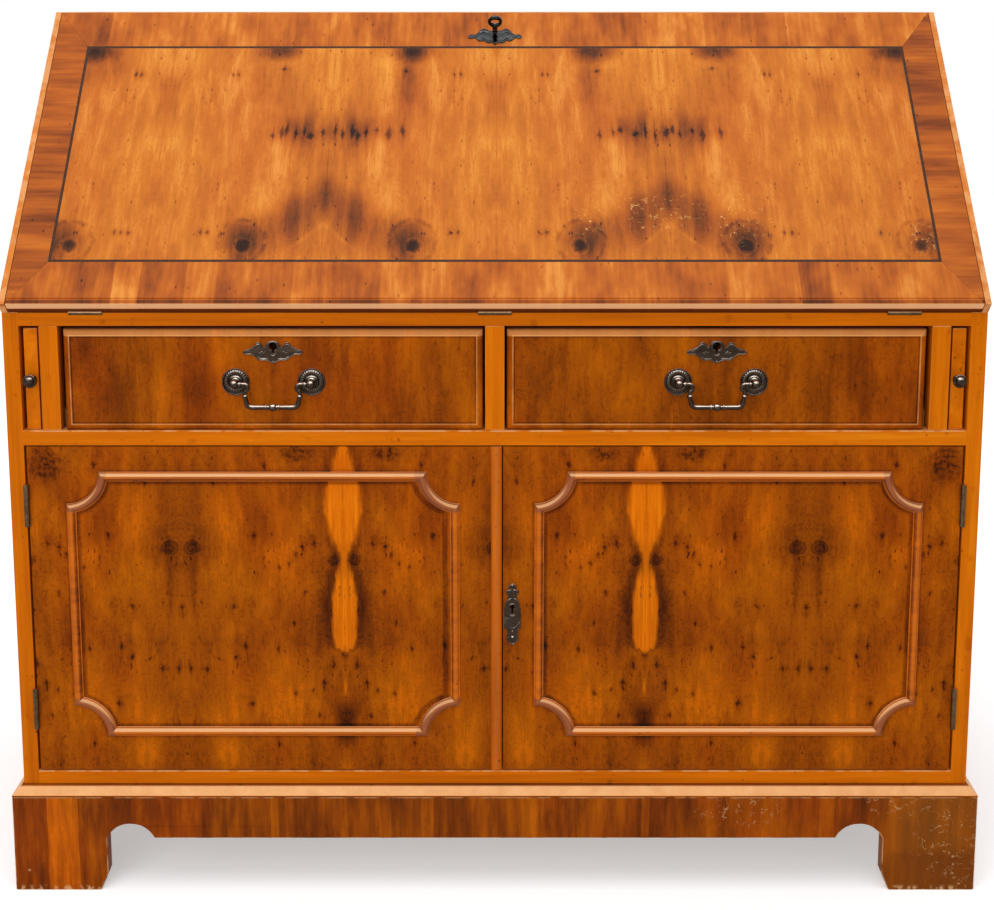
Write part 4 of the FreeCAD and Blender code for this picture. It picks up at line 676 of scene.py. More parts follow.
@dataclass(frozen=True)
class DoorVeneer:
    """Book-matched yew leaves with a sapwood streak, mirrored on the two doors."""

    name: str = "door_yew_veneer"
    streak: float = 0.1757
    streak_half: float = 0.024
    streak_low: float = 0.23
    streak_high: float = 0.55
    leaf: float = 0.189
    corner: float = 38.0
    gloss: Gloss = Gloss()

    def build(self) -> bpy.types.Material:
        """Make the veneer's material."""
        g = Graph(self.name)
        x, _, z = g.place()
        _, ny, _ = g.facing()
        sway = g.swing(x * 9.0, z * 7.0, 1.0, 2.0)
        stir = g.swing(x * 70.0, z * 70.0, 6.0, 2.0)
        away = abs(x) - self.streak + sway * 0.005
        across = away.fold(self.leaf) + stir * 0.002
        up = z + stir * 0.004
        figure, fine, drift = Figure(0.84, 0.24, 0.016, 0.10).tone(g, across, up * 1.4, 2.2)
        tone = self.sapwood(g, abs(away) + stir * 0.003, up, 0.635 + figure, fine)
        wobble = g.swing(x * 170.0, z * 170.0, 8.0, 2.0)
        across, up = across + stir * 0.003 + wobble * 0.004, up + stir * 0.003 + wobble * 0.006
        spot = g.point(across / MM, up / MM)
        tone = tone + self.knots(g, spot) - self.pips(g, spot, across, up)
        tone = tone - self.burr(g, g.point(abs(x) / MM, z / MM), wobble)
        # Painted shadow of the moulding, on the front face only.
        tone = tone - self.shadow(g, abs(x), z) * ny.fall(-0.6, -0.3)
        tone = tone - across.least(self.leaf - across).fall(0.0, 0.0010) * 0.06
        rough = 0.34 + g.noise(x * 12.0, z * 12.0, 4.0, 2.0) * 0.14
        return g.finish(brown_yew(g, tone, drift, 0.5), rough, fine, 0.00012, **self.gloss.inputs())

    def burr(self, g: Graph, place: bpy.types.NodeSocket, wobble: Field) -> Field:
        """Darkness of the burr patches along the top of the doors."""
        zone = g.near(place, ((520, 522, 24, 28), (126, 535, 20, 11), (228, 535, 22, 12))).fall(0.2, 1.2)
        smudge = g.near(place, ((165, 214, 34, 30), (148, 330, 24, 70), (204, 330, 24, 70))).fall(0.0, 1.3)
        burrs = zone * (0.18 + wobble.rise(-0.08, 0.14) * 0.26)
        return burrs + smudge * (0.10 + wobble.rise(-0.1, 0.2) * 0.06)

    def shadow(self, g: Graph, x: Field, z: Field) -> Field:
        """Painted shadow along the line where the applied moulding meets the door."""
        low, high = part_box("door_right_moulding")
        inset = (x - low.x).least(high.x - x).least((z - low.z).least(high.z - z))
        hollow = (g.near(g.point(x / MM, z / MM), moulding_corners(self.corner)) - 1.0) * (self.corner * MM)
        inner = inset.least(hollow)
        line = inner.line(0.0118, 0.0012, 0.0050) * 0.24 + inner.line(-0.0008, 0.0006, 0.0030) * 0.14
        return line + inner.fall(-0.004, 0.0) * 0.05

    def sapwood(self, g: Graph, away: Field, up: Field, tone: Field, fine: Field) -> Field:
        """Tone with the pale streak down the middle of each door."""
        torn = g.swing(away * 150.0, up * 20.0, 9.0, 3.0) * 0.040
        width = g.curve((up + torn - self.streak_low) / (self.streak_high - self.streak_low), (
            (0.0, 0.0), (0.06, 0.12), (0.13, 0.02), (0.20, 0.0), (0.215, 0.44), (0.27, 0.62), (0.40, 0.68),
            (0.48, 0.48), (0.54, 0.22), (0.57, 0.24), (0.63, 0.60), (0.75, 0.92), (0.84, 0.84), (0.88, 0.56),
            (0.93, 0.50), (1.0, 0.22))) * self.streak_half
        feather = g.swing(away * 260.0, up * 16.0, 5.0, 2.0)
        inside = (away - width + feather * 0.007).fall(-0.0035, 0.0015) * width.rise(0.0004, 0.002)
        rim = (away - width).line(0.005, 0.0, 0.010) * width.rise(0.001, 0.004)
        strength = g.curve((up - 0.15) / 0.4, ((0.0, 0.3), (0.3, 0.4), (0.5, 0.9), (0.8, 0.8), (1.0, 0.4)))
        shade = away.fall(0.016, 0.070) * strength
        tone = tone - shade * 0.12 - rim * 0.16
        streaks = g.swing(away * 300.0, up * 9.0, 7.0, 2.0)
        foot = away.fall(0.004, 0.018) * up.line(0.205, 0.01, 0.035)
        pale = 0.88 + streaks * 0.34 + (fine - 0.5) * 0.12
        return tone * (1.0 - inside) + inside * pale - foot * 0.2

    def knots(self, g: Graph, spot: bpy.types.NodeSocket) -> Field:
        """Change of tone of the ringed knots."""
        ring = g.curve(g.near(spot, ((12.2, 406.2, 7.5, 7.0), (176.5, 421.5, 10.5, 9.0))) / 4.0, (
            (0.0, 0.26), (0.07, 0.20), (0.12, 0.06), (0.17, 0.24), (0.22, 0.12), (0.28, 0.40), (0.34, 0.34),
            (0.40, 0.42), (0.6, 0.43), (1.0, 0.5)))
        trail = g.near(spot, ((172.0, 462.0, 18.0, 48.0), (178.0, 380.0, 14.0, 36.0))).fall(0.2, 1.2)
        return (ring - 0.5) * 0.85 - trail * 0.12

    def pips(self, g: Graph, spot: bpy.types.NodeSocket, across: Field, up: Field) -> Field:
        """Darkness of the scattered spindle flecks."""
        marks = ((34, 426.4, 4, 7), (48, 422, 4, 6), (56, 414, 3.5, 6), (64, 402, 3.5, 6), (76, 398, 3.5, 6),
                 (104, 436, 5, 9), (46, 366.7, 3.5, 7), (78, 297.8, 4.5, 8), (116, 301, 4, 7),
                 (128, 287.7, 4, 7), (0.5, 291, 4, 7), (14, 278, 4, 9), (25, 256, 4, 8), (38, 246.3, 4.5, 7),
                 (58, 242, 4.5, 7), (188, 348.5, 3, 7), (163, 273, 4, 7), (182, 274, 4, 8), (90, 520, 4, 8),
                 (130, 350, 4, 7), (60, 330, 3.5, 6), (150, 500, 4, 8), (110, 230, 4, 7), (30, 215, 4, 8),
                 (80, 180, 4, 7))
        small, chance = g.cells(across * 180.0, up * 85.0, 2.0)
        zone = g.spots(spot, ((120, 405, 36, 24), (60, 410, 56, 26), (30, 262, 36, 26), (150, 278, 56, 22)))
        likely = chance.rise(0.45, 0.6) * zone * 0.34 + chance.rise(0.86, 0.90) * 0.24
        flecks = g.flecks(spot, [(at, height, wide * 0.85, tall * 0.9) for at, height, wide, tall in marks])
        return flecks * 0.38 + small.fall(0.10, 0.28) * likely * 0.85


@dataclass(frozen=True)
class DrawerVeneer:
    """Upright yew veneer of the drawer fronts, with a painted highlight and wear along the moulded edges and
    painted shade in the groove within them.
    """

    name: str = "drawer_yew_veneer"
    edging: float = 0.008
    gloss: Gloss = Gloss()

    def build(self) -> bpy.types.Material:
        """Make the veneer's material."""
        g = Graph(self.name)
        x, _, z = g.place()
        stir = g.swing(x * 60.0, z * 60.0, 6.0, 2.0) * 0.006
        figure, fine, drift = Figure(0.80, 0.26, 0.016, 0.08).tone(g, x * 0.8 + stir, z * 1.1 + stir, 5.5)
        tone = 0.54 + figure + g.swing(x * 15.0, z * 3.5, 11.0, 2.0) * 0.60
        pips, chance = g.cells(x * 150.0, z * 62.0, 5.0)
        tone = tone - pips.fall(0.08, 0.22) * chance.rise(0.80, 0.86) * 0.16
        aside = (abs(x) - DRAWER_X[0]).least(DRAWER_X[1] - abs(x))
        level = (z - DRAWER_Z[0]).least(DRAWER_Z[1] - z)
        inset = aside.least(level)
        # Painted shade in the groove just inside the moulded edge.
        groove_shade = inset.line(self.edging + 0.0005, 0.0005, 0.0016)
        crest = inset.line(self.edging - 0.0010, 0.0004, 0.0012)
        strip = inset.fall(self.edging - 0.0004, self.edging)
        top = (DRAWER_Z[1] - z).fall(self.edging - 0.0004, self.edging) * strip
        tone = tone - groove_shade * 0.12 + strip * 0.08
        rub = g.swing(x * 40.0, z * 40.0, 9.0)
        # Painted highlight on the crest and the top of the moulded edge, broken by wear.
        worn = (crest * (0.42 + rub * 1.2)).most(top * (0.55 + crest * 0.4 + rub * 0.3))
        colour = g.mix(worn, brown_yew(g, tone, drift, 0.6), EDGE_WEAR_AND_HIGHLIGHT)
        rough = 0.32 + g.noise(x * 20.0, z * 20.0, 4.0, 2.0) * 0.14
        return g.finish(colour, rough, fine, 0.00012, **self.gloss.inputs())


@dataclass(frozen=True)
class SolidYew:
    """Polished solid yew of rails, edges and mouldings."""

    name: str
    grain: Grain
    base: float = 0.65
    upper_face_highlight: float = 0.50
    rubbed: float = 0.80
    gloss: Gloss = Gloss()
    lift: float = 0.0
    lift_from: float = 0.42
    rubs: tuple[float, ...] = ()
    seams: tuple[float, ...] = ()
    highlight_and_wear_colour: Colour = PINK_WEAR_AND_HIGHLIGHT

    def build(self) -> bpy.types.Material:
        """Make the timber's material."""
        g = Graph(self.name)
        x, y, z = g.place()
        grain, relief = grain_tone(g, *self.grain.order(x, y, z), 2.0)
        wear = g.noise(x * 55.0, y * 55.0, z * 55.0, 4.0)
        nick = g.noise(x * 130.0, y * 130.0, z * 130.0, 2.0).rise(0.70, 0.74)
        # Painted shade: faces that look down are darkened.
        under = g.facing()[2].fall(-0.6, -0.15)
        tone = self.base + grain * 0.9 - wear.rise(0.62, 0.72) * 0.12 - nick * 0.25 - under * 0.24
        tone = tone + (z - self.lift_from) * self.lift
        worn = self.worn(g, wear)
        for height in self.seams:
            dark = z.line(height, 0.0005, 0.0022)
            tone, worn = tone - dark * 0.34, worn * (1.0 - dark)
        for height in self.rubs:
            worn = worn.most(z.line(height, 0.0008, 0.0018) * wear.rise(0.36, 0.56) * 0.85)
        colour = self.colour(g, tone, worn)
        return g.finish(colour, 0.30 + wear * 0.16, relief, 0.00012, **self.gloss.inputs())

    def worn(self, g: Graph, wear: Field) -> Field:
        """1 on the upper faces, as a painted highlight, and where the polish has gone from the edges."""
        # Painted highlight on the faces that look up; the edges below are wear.
        top = g.facing()[2].rise(0.25, 0.9) * self.upper_face_highlight * (0.55 + wear * 0.7)
        return top.most(worn_edge(g) * wear.rise(0.34, 0.58) * self.rubbed)

    def colour(self, g: Graph, tone: Field, worn: Field) -> bpy.types.NodeSocket:
        """Colour of the timber, paler under the painted highlight and where it is worn."""
        return g.mix(worn, g.ramp(tone, RAIL_YEW), self.highlight_and_wear_colour)


@dataclass(frozen=True)
class AppliedYew(SolidYew):
    """Yew of the doors' applied mouldings, with painted light and shade: a cream highlight on top, shade on
    the faces turned inward and in the hollow corners.
    """

    leaf_middle: float = 0.27
    corner: float = 47.0

    def worn(self, g: Graph, wear: Field) -> Field:
        """Painted highlight: 1 on the faces that look up."""
        return g.facing()[2].rise(0.1, 0.6)

    def colour(self, g: Graph, tone: Field, worn: Field) -> bpy.types.NodeSocket:
        """Colour of the moulding by the way that it faces, with painted highlight and shade."""
        x, _, z = g.place()
        nx, _, _ = g.facing()
        outward = nx * (x / abs(x)) * ((abs(x) - self.leaf_middle).rise(-0.01, 0.01) * 2.0 - 1.0)
        # Painted shade on the faces turned inward, towards the middle of the leaf.
        colour = super().colour(g, tone - outward.fall(-0.7, -0.15) * 0.26, worn)
        # Painted shade in the hollow corners, less on the faces that look up.
        corner_shade = g.near(g.point(abs(x) / MM, z / MM), moulding_corners(self.corner)).fall(0.98, 1.02)
        return g.mix(corner_shade * (0.72 - worn * 0.5), colour, HOLLOW_CORNER_SHADE)


@dataclass(frozen=True)
class PlinthVeneer:
    """Upright crossbanded strips of the plinth, worn along the feet."""

    name: str = "plinth_yew_strips"
    front: float = -0.2486
    half_width: float = 0.5715
    turn: float = 1.6
    stained_foot: tuple[float, float] = (0.44, 0.50)
    gloss: Gloss = Gloss(0.04, 0.02)

    def build(self) -> bpy.types.Material:
        """Make the veneer's material."""
        g = Graph(self.name)
        x, y, z = g.place()
        figure, fine, drift = Figure(0.72, 0.56, 0.01, 0.03).tone(g, x + y * 0.9, z, 7.7)
        along = x * (1.0 - (y - self.front) * self.turn)
        tone = g.curve(along * 0.86 + 0.5, PLINTH_STRIPS, True) * 0.95 + figure
        foot = x.rise(*self.stained_foot)
        colour = g.mix(foot * 0.45, brown_yew(g, tone, drift, 0.6), FOOT_BROWN)
        damp = (z + g.swing(along * 30.0, z * 30.0, 2.0) * 0.03).fall(0.042, 0.056)
        colour = g.mix(foot * damp * 0.5, colour, DAMP_BROWN)
        corner = abs(x).rise(self.half_width - 0.0015, self.half_width)
        corner = corner * y.fall(self.front + 0.0012, self.front + 0.0028)
        corner = corner * g.noise(z * 70.0, 3.0, 1.0).rise(0.40, 0.60) * 0.7
        colour = g.mix(self.wear(g, along, z).most(corner), colour, CHIPPED)
        rough = 0.34 + g.noise(along * 20.0, z * 20.0, 4.0, 2.0) * 0.16
        return g.finish(colour, rough, fine, 0.00014, **self.gloss.inputs())

    def wear(self, g: Graph, along: Field, z: Field) -> Field:
        """Scratches, chips, specks and rubbed edges, from 0 to 1."""
        spot = g.point(along / MM, z / MM)
        curl = g.noise(along * 60.0, z * 60.0, 3.0, 3.0).line(0.5, 0.004, 0.016)
        broken = g.noise(along * 110.0, z * 110.0, 5.0, 2.0).rise(0.46, 0.58)
        zone = g.spots(spot, ((285, 100, 60, 24), (480, 110, 60, 24), (535, 60, 50, 66)))
        chips = g.noise(along * 120.0, z * 60.0, 5.0, 3.0).rise(0.50, 0.60) * z.fall(0.001, 0.008)
        speck, chance = g.cells(along * 120.0, z * 120.0, 6.0)
        feet = g.spots(spot, ((540, 20, 50, 34), (-540, 10, 50, 22)))
        specks = speck.fall(0.10, 0.30) * chance.rise(0.82, 0.86) * feet
        rim = worn_edge(g, True) * g.noise(along * 50.0, z * 50.0, 8.0, 3.0).rise(0.36, 0.56)
        return (curl * broken * zone * 0.42).most(chips.most(specks).most(rim * 0.8) * 0.8)


@dataclass(frozen=True)
class PlainWood:
    """Unpolished pale wood inside and behind the case."""

    name: str
    colour: Colour = (0.46, 0.27, 0.13)
    grain: Grain = Grain.ACROSS

    def build(self) -> bpy.types.Material:
        """Make the timber's material."""
        g = Graph(self.name)
        x, y, z = g.place()
        grain, relief = grain_tone(g, *self.grain.order(x, y, z), 3.0)
        dark = tuple(v * 0.45 for v in self.colour)
        light = tuple(min(1.0, v * 1.25) for v in self.colour)
        stain = g.noise(x * 5.0, y * 5.0, z * 5.0, 4.0).rise(0.5, 0.75)
        tone = 0.6 + grain * 0.8 - stain * 0.18
        colour = g.ramp(tone, ((0.0, dark), (0.6, self.colour), (1.0, light)))
        return g.finish(colour, 0.55 + grain * 0.2, relief, 0.0002, Specular_IOR_Level=0.25)


@dataclass(frozen=True)
class Leather:
    """Dark green writing leather with a tooled gold line."""

    name: str = "writing_leather"
    broad_line: float = 0.014
    fine_line: float = 0.018

    def build(self) -> bpy.types.Material:
        """Make the leather's material."""
        g = Graph(self.name)
        x, y, z = g.place()
        s = up_slope(y, z)
        low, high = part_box("fall_leather")
        ends = (s - up_slope(low.y, low.z)).least(up_slope(high.y, high.z) - s)
        edge = (high.x - abs(x)).least(ends)
        line = edge.line(self.broad_line, 0.0006, 0.0011) + edge.line(self.fine_line, 0.0003, 0.0007)
        pebble, _ = g.cells(x * 700.0, s * 700.0)
        wear = g.noise(x * 8.0, s * 8.0, 1.0, 4.0)
        shades = ((0.3, (0.018, 0.034, 0.018)), (0.7, (0.045, 0.07, 0.036)))
        colour = g.mix(line * 0.85, g.ramp(wear + (pebble - 0.4) * 0.15, shades), GILT)
        return g.finish(colour, 0.42 + wear * 0.2, pebble - line * 0.5, 0.0002, Specular_IOR_Level=0.4)


@dataclass(frozen=True)
class Metal:
    """Cast or rolled metal with patina in its hollows, rubbed high points and a painted highlight on its
    upper faces.
    """

    name: str
    dark: Colour
    bright: Colour
    rough: float
    rub: float
    upper_highlight: float = 0.5

    def build(self) -> bpy.types.Material:
        """Make the metal's material."""
        g = Graph(self.name)
        x, y, z = g.place()
        _, ny, nz = g.facing()
        mottle = g.noise(x * 260.0, y * 260.0, z * 260.0, 5.0)
        cloud = g.noise(x * 60.0, y * 60.0, z * 60.0, 3.0)
        shape = g.node("ShaderNodeNewGeometry")
        proud = Field(g, shape.outputs["Pointiness"]).rise(0.50, 0.50 + self.rub)
        # Painted highlight on the upper faces; the rubbed high points and patches are wear and patina.
        upper = (nz - ny * 0.35).rise(0.45, 1.0)
        patches = (mottle - 0.5) * 0.4 + (cloud - 0.5) * 0.4
        shine = (proud * 0.35 + upper * self.upper_highlight + patches).rise(0.0, 1.0)
        dull = tuple(a + (b - a) * 0.20 for a, b in zip(self.dark, self.bright))
        colour = g.ramp(shine, ((0.0, self.dark), (0.5, dull), (1.0, self.bright)))
        rough = self.rough + (mottle - 0.5) * 0.24
        return g.finish(colour, rough, mottle, 0.00008, Metallic=1.0)


@dataclass(frozen=True)
class Stringing:
    """Dark inlaid line."""

    name: str = "dark_stringing"

    def build(self) -> bpy.types.Material:
        """Make the line's material."""
        g = Graph(self.name)
        x, y, z = g.place()
        mottle = g.noise(x * 400.0, y * 400.0, z * 400.0, 3.0)
        colour = g.ramp(mottle, ((0.3, (0.028, 0.012, 0.006)), (0.7, (0.085, 0.034, 0.016))))
        return g.finish(colour, 0.4 + mottle * 0.1, mottle, 0.00005, Specular_IOR_Level=0.12)


class Finishes:
    """Every finish of the escritoire, each made once."""

    def __init__(self) -> None:
        """Make the materials."""
        shiny = Gloss(0.10, 0.06)
        rubs = (MID_RAIL_TOP, BOTTOM_RAIL_TOP)
        seams = (PLINTH_TOP, PLINTH_TOP + FOOT_MOULD_RISE)
        self.fall = FallVeneer().build()
        self.door = DoorVeneer().build()
        self.drawer = DrawerVeneer().build()
        self.plinth = PlinthVeneer().build()
        self.rail = SolidYew("yew_rails", Grain.ACROSS, 0.67, lift=0.04, rubs=rubs).build()
        self.top_rail = SolidYew("yew_top_rail", Grain.ACROSS, 0.59).build()
        self.upright = SolidYew("yew_uprights", Grain.UPRIGHT).build()
        self.deep = SolidYew("yew_front_to_back", Grain.DEEP).build()
        self.foot_mould = SolidYew("yew_foot_moulding", Grain.ACROSS, 0.60, 1.05, seams=seams,
                                   highlight_and_wear_colour=PALE_WEAR_AND_HIGHLIGHT).build()
        self.moulding = AppliedYew("yew_door_mouldings", Grain.ACROSS, 0.56, gloss=shiny,
                                   highlight_and_wear_colour=CREAM_TOP_HIGHLIGHT).build()
        self.bead = SolidYew("yew_meeting_bead", Grain.UPRIGHT, 0.56, 0.5, 0.0, shiny).build()
        self.pale = PlainWood("pale_inside_wood").build()
        self.back = PlainWood("back_board_wood", (0.40, 0.24, 0.12), Grain.UPRIGHT).build()
        self.string = Stringing().build()
        self.leather = Leather().build()
        self.bronze = Metal(
            "dark_bronze", (0.030, 0.020, 0.014), (0.54, 0.46, 0.39), 0.26, 0.12, 0.90).build()
        self.shaded_bronze = Metal(
            "shaded_bronze", (0.010, 0.011, 0.012), (0.40, 0.40, 0.40), 0.26, 0.12, 0.28).build()
        self.hinge = Metal(
            "dull_hinge_brass", (0.014, 0.009, 0.005), (0.62, 0.38, 0.20), 0.38, 0.08, 0.8).build()
        self.lock = Metal("lock_brass", (0.30, 0.20, 0.08), (0.70, 0.50, 0.22), 0.34, 0.06).build()


def dress(node: str, material: bpy.types.Material, soften: float = 0.0) -> None:
    """Give a CAD node its finish.

    Args:
        node: Node's name.
        material: Its finish.
        soften: Radius of the worn edges, in metres.
    """
    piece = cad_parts[node]
    piece.data.materials.clear()
    piece.data.materials.append(material)
    if soften:
        weld = piece.modifiers.new("joined corners", "WELD")
        weld.merge_threshold = 0.00001
        edge = piece.modifiers.new("worn edges", "BEVEL")
        edge.width = soften
        edge.segments = 2
        edge.limit_method = "ANGLE"
        edge.angle_limit = math.radians(40)
        edge.harden_normals = True
    LOG.info("dressed %s in %s", node, material.name)


class Castings:
    """Shapes of one metal piece, gathered into a single mesh."""

    def __init__(self) -> None:
        """Start with nothing."""
        self.mesh = bmesh.new()

    def turn(self, place: Matrix, profile: Line, sides: int = 32, flutes: int = 0,
             petal: float = 0.0) -> None:
        """Turned shape about the place's own third axis.

        Args:
            place: Where the shape stands.
            profile: Radius and height of each ring, from the axis to the axis.
            sides: Faces round it.
            flutes: Lobes round it.
            petal: How far the lobes rise and fall.
        """
        rings = []
        for radius, height in profile:
            if radius <= 0.0:
                rings.append([self.mesh.verts.new(place @ Vector((0, 0, height)))])
                continue
            ring = []
            for i in range(sides):
                turn = math.tau * i / sides
                lobe = 0.5 - 0.5 * math.cos(turn * flutes)
                spot = Vector((radius * math.cos(turn), radius * math.sin(turn), height - petal * lobe))
                ring.append(self.mesh.verts.new(place @ spot))
            rings.append(ring)
        for lower, upper in zip(rings, rings[1:]):
            self.bridge(lower, upper)

    def bridge(self, lower: list[bmesh.types.BMVert], upper: list[bmesh.types.BMVert]) -> None:
        """Faces between two rings, or a ring and a point."""
        count = max(len(lower), len(upper))
        if count == 1:
            return
        for i in range(count):
            j = (i + 1) % count
            places = ((lower, i), (lower, j), (upper, j), (upper, i))
            corners = [ring[k % len(ring)] for ring, k in places]
            self.mesh.faces.new(list(dict.fromkeys(corners)))

    def sweep(self, place: Matrix, path: Sequence[Vector], radii: Sequence[float], sides: int = 14) -> None:
        """Round rod of changing radius along a path.

        Args:
            place: Frame of the path's points.
            path: Points along the middle.
            radii: Radius at each point.
            sides: Faces round it.
        """
        up = Vector((0, 0, 1))
        rings = []
        for i, (point, radius) in enumerate(zip(path, radii)):
            way = (path[min(i + 1, len(path) - 1)] - path[max(i - 1, 0)]).normalized()
            side = way.cross(up)
            side = side.normalized() if side.length > 1e-6 else way.orthogonal().normalized()
            up = side.cross(way).normalized()
            ring = []
            for k in range(sides):
                turn = math.tau * k / sides
                reach = (side * math.cos(turn) + up * math.sin(turn)) * radius
                ring.append(self.mesh.verts.new(place @ (point + reach)))
            rings.append(ring)
        for lower, upper in zip(rings, rings[1:]):
            self.bridge(lower, upper)
        for ring in (rings[0], rings[-1]):
            self.mesh.faces.new(ring)

    def wire(self, place: Matrix, line: Line, height: float, thick: float,
             thin: Optional[float] = None) -> None:
        """Raised wire along a flat line, tapering to thin at its ends where that is given."""
        path = [Vector((u, v, height)) for u, v in line]
        last = len(path) - 1
        tip = thick if thin is None else thin
        taper = [tip + (thick - tip) * math.sin(math.pi * i / last) for i in range(last + 1)]
        self.sweep(place, path, taper, 8)

    def plate(self, place: Matrix, outlines: Sequence[Line], thickness: float, edge: float) -> None:
        """Flat plate with rounded edges.

        Args:
            place: Frame of the plate, its back at height zero.
            outlines: Outer line, then the lines of its holes.
            thickness: Thickness of the plate.
            edge: Radius of its edges.
        """
        curve = bpy.data.curves.new("outline", "CURVE")
        curve.dimensions = "2D"
        curve.fill_mode = "BOTH"
        curve.extrude = thickness / 2 - edge
        curve.bevel_depth = edge
        curve.bevel_resolution = 2
        curve.offset = -edge
        for line in outlines:
            spline = curve.splines.new("POLY")
            spline.points.add(len(line) - 1)
            spline.use_cyclic_u = True
            for point, (u, v) in zip(spline.points, line):
                point.co = (u, v, 0.0, 1.0)
        holder = bpy.data.objects.new("outline", curve)
        solid = bpy.data.meshes.new_from_object(holder)
        solid.transform(place @ Matrix.Translation((0, 0, thickness / 2)))
        self.mesh.from_mesh(solid)
        bpy.data.objects.remove(holder)
        bpy.data.curves.remove(curve)
        bpy.data.meshes.remove(solid)

    def ball(self, place: Matrix, centre: tuple[float, float, float], radius: float) -> None:
        """Bead at a point of the place's frame."""
        steps = 10
        profile = [(radius * math.sin(math.pi * i / steps), -radius * math.cos(math.pi * i / steps))
                   for i in range(steps + 1)]
        profile[0] = (0.0, -radius)
        profile[-1] = (0.0, radius)
        self.turn(place @ Matrix.Translation(centre), profile, 16)

    def piece(self, name: str, material: bpy.types.Material, body: str, node: str) -> bpy.types.Object:
        """Make the object in a CAD node's stead.

        Args:
            name: Piece's name.
            material: Its finish.
            body: Body that carries it.
            node: CAD node that it stands for.

        Returns:
            The new object.
        """
        bmesh.ops.remove_doubles(self.mesh, verts=self.mesh.verts, dist=1e-6)
        bmesh.ops.recalc_face_normals(self.mesh, faces=self.mesh.faces)
        data = bpy.data.meshes.new(name)
        self.mesh.to_mesh(data)
        self.mesh.free()
        data.shade_smooth()
        data.set_sharp_from_angle(angle=math.radians(42))
        data.materials.append(material)
        piece = bpy.data.objects.new(name, data)
        bpy.context.scene.collection.objects.link(piece)
        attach(piece, body)
        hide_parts(node)
        LOG.info("made %s with %d faces", name, len(data.polygons))
        return piece


def face_place(x: float, y: float, z: float) -> Matrix:
    """Frame on a front face: across, up, and out towards the front."""
    return Matrix(((1, 0, 0, x), (0, 0, -1, y), (0, 1, 0, z), (0, 0, 0, 1)))


def slope_place(x: float, s: float, off: float) -> Matrix:
    """Frame on the fall's slope: across, up the slope, and out from it."""
    c, k = math.cos(SLOPE), math.sin(SLOPE)
    y = s * c - off * k - ORIGIN_Y
    z = HINGE_Z + s * k + off * c
    return Matrix(((1, 0, 0, x), (0, c, -k, y), (0, k, c, z), (0, 0, 0, 1)))


def between(before: float, first: float, last: float, after: float, share: float) -> float:
    """Value on a smooth run from first to last, given the values beyond its ends."""
    square = 2 * before - 5 * first + 4 * last - after
    cube = 3 * first - before - 3 * last + after
    return 0.5 * (2 * first + (last - before) * share + square * share ** 2 + cube * share ** 3)


def smooth_line(points: Line, steps: int = 6, closed: bool = True) -> list[tuple[float, float]]:
    """Rounded line through points.

    Args:
        points: Points that it passes.
        steps: Points added on each run.
        closed: Whether it comes back to its start.

    Returns:
        The line's points.
    """
    line = []
    count = len(points)
    for i in range(count if closed else count - 1):
        around = [points[(i + k) % count] if closed else points[min(max(i + k, 0), count - 1)]
                  for k in (-1, 0, 1, 2)]
        for j in range(steps):
            line.append(tuple(between(*values, j / steps) for values in zip(*around)))
    if not closed:
        line.append(tuple(points[-1]))
    return line


def mirrored_outline(half: Line, wide: float, tall: float) -> list[tuple[float, float]]:
    """Closed outline from its right half, listed from top to bottom, scaled to half sizes."""
    right = [(u * wide, v * tall) for u, v in half]
    left = [(-u, v) for u, v in reversed(right) if u > 1e-9]
    return smooth_line(right + left)


def keyhole_line(radius: float, slot: float, drop: float, up: float) -> list[tuple[float, float]]:
    """Outline of a keyhole whose round part lies at a height above the middle of its plate."""
    start = math.asin(slot / radius)
    turns = [-math.pi / 2 + start + (math.tau - 2 * start) * i / 20 for i in range(21)]
    line = [(radius * math.cos(t), up + radius * math.sin(t)) for t in turns]
    return line + [(-slot, up - drop), (slot, up - drop)]


def arc_line(cx: float, cy: float, radius: float, first: float, last: float,
             steps: int = 14) -> list[tuple[float, float]]:
    """Part of a circle between two angles in degrees."""
    turns = [math.radians(first + (last - first) * i / steps) for i in range(steps + 1)]
    return [(cx + radius * math.cos(t), cy + radius * math.sin(t)) for t in turns]


def bend(start: tuple[float, float], first: float, last: float, radius: float) -> list[tuple[float, float]]:
    """Points of a bend.

    Args:
        start: Point that it starts from.
        first: Heading at its start, in radians.
        last: Heading at its end.
        radius: Radius of the bend.

    Returns:
        The points after the start.
    """
    x, z = start
    steps = 7
    step = radius * abs(last - first) / steps
    line = []
    for i in range(1, steps + 1):
        turn = first + (last - first) * i / steps
        x, z = x + step * math.cos(turn), z + step * math.sin(turn)
        line.append((x, z))
    return line


WING_HALF: Line = (
    (0.0, 1.0), (0.135, 0.93), (0.22, 0.74), (0.255, 0.50), (0.31, 0.42), (0.37, 0.62), (0.45, 0.87),
    (0.54, 0.80),
    (0.62, 0.54), (0.72, 0.36), (0.84, 0.22), (0.94, 0.12), (1.0, -0.02), (0.95, -0.16), (0.86, -0.20),
    (0.75, -0.18), (0.66, -0.32), (0.54, -0.58), (0.42, -0.76), (0.30, -0.74), (0.20, -0.77), (0.11, -0.90),
    (0.0, -1.0),
)
WING_SCROLLS: Sequence[Line] = (
    ((0.27, 0.05), (0.31, -0.12), (0.36, 0.02), (0.41, -0.14), (0.46, -0.02)),
    ((0.34, 0.36), (0.44, 0.66), (0.55, 0.60), (0.70, 0.22), (0.84, 0.02)),
    ((0.16, -0.60), (0.28, -0.58), (0.40, -0.60), (0.52, -0.42)),
)
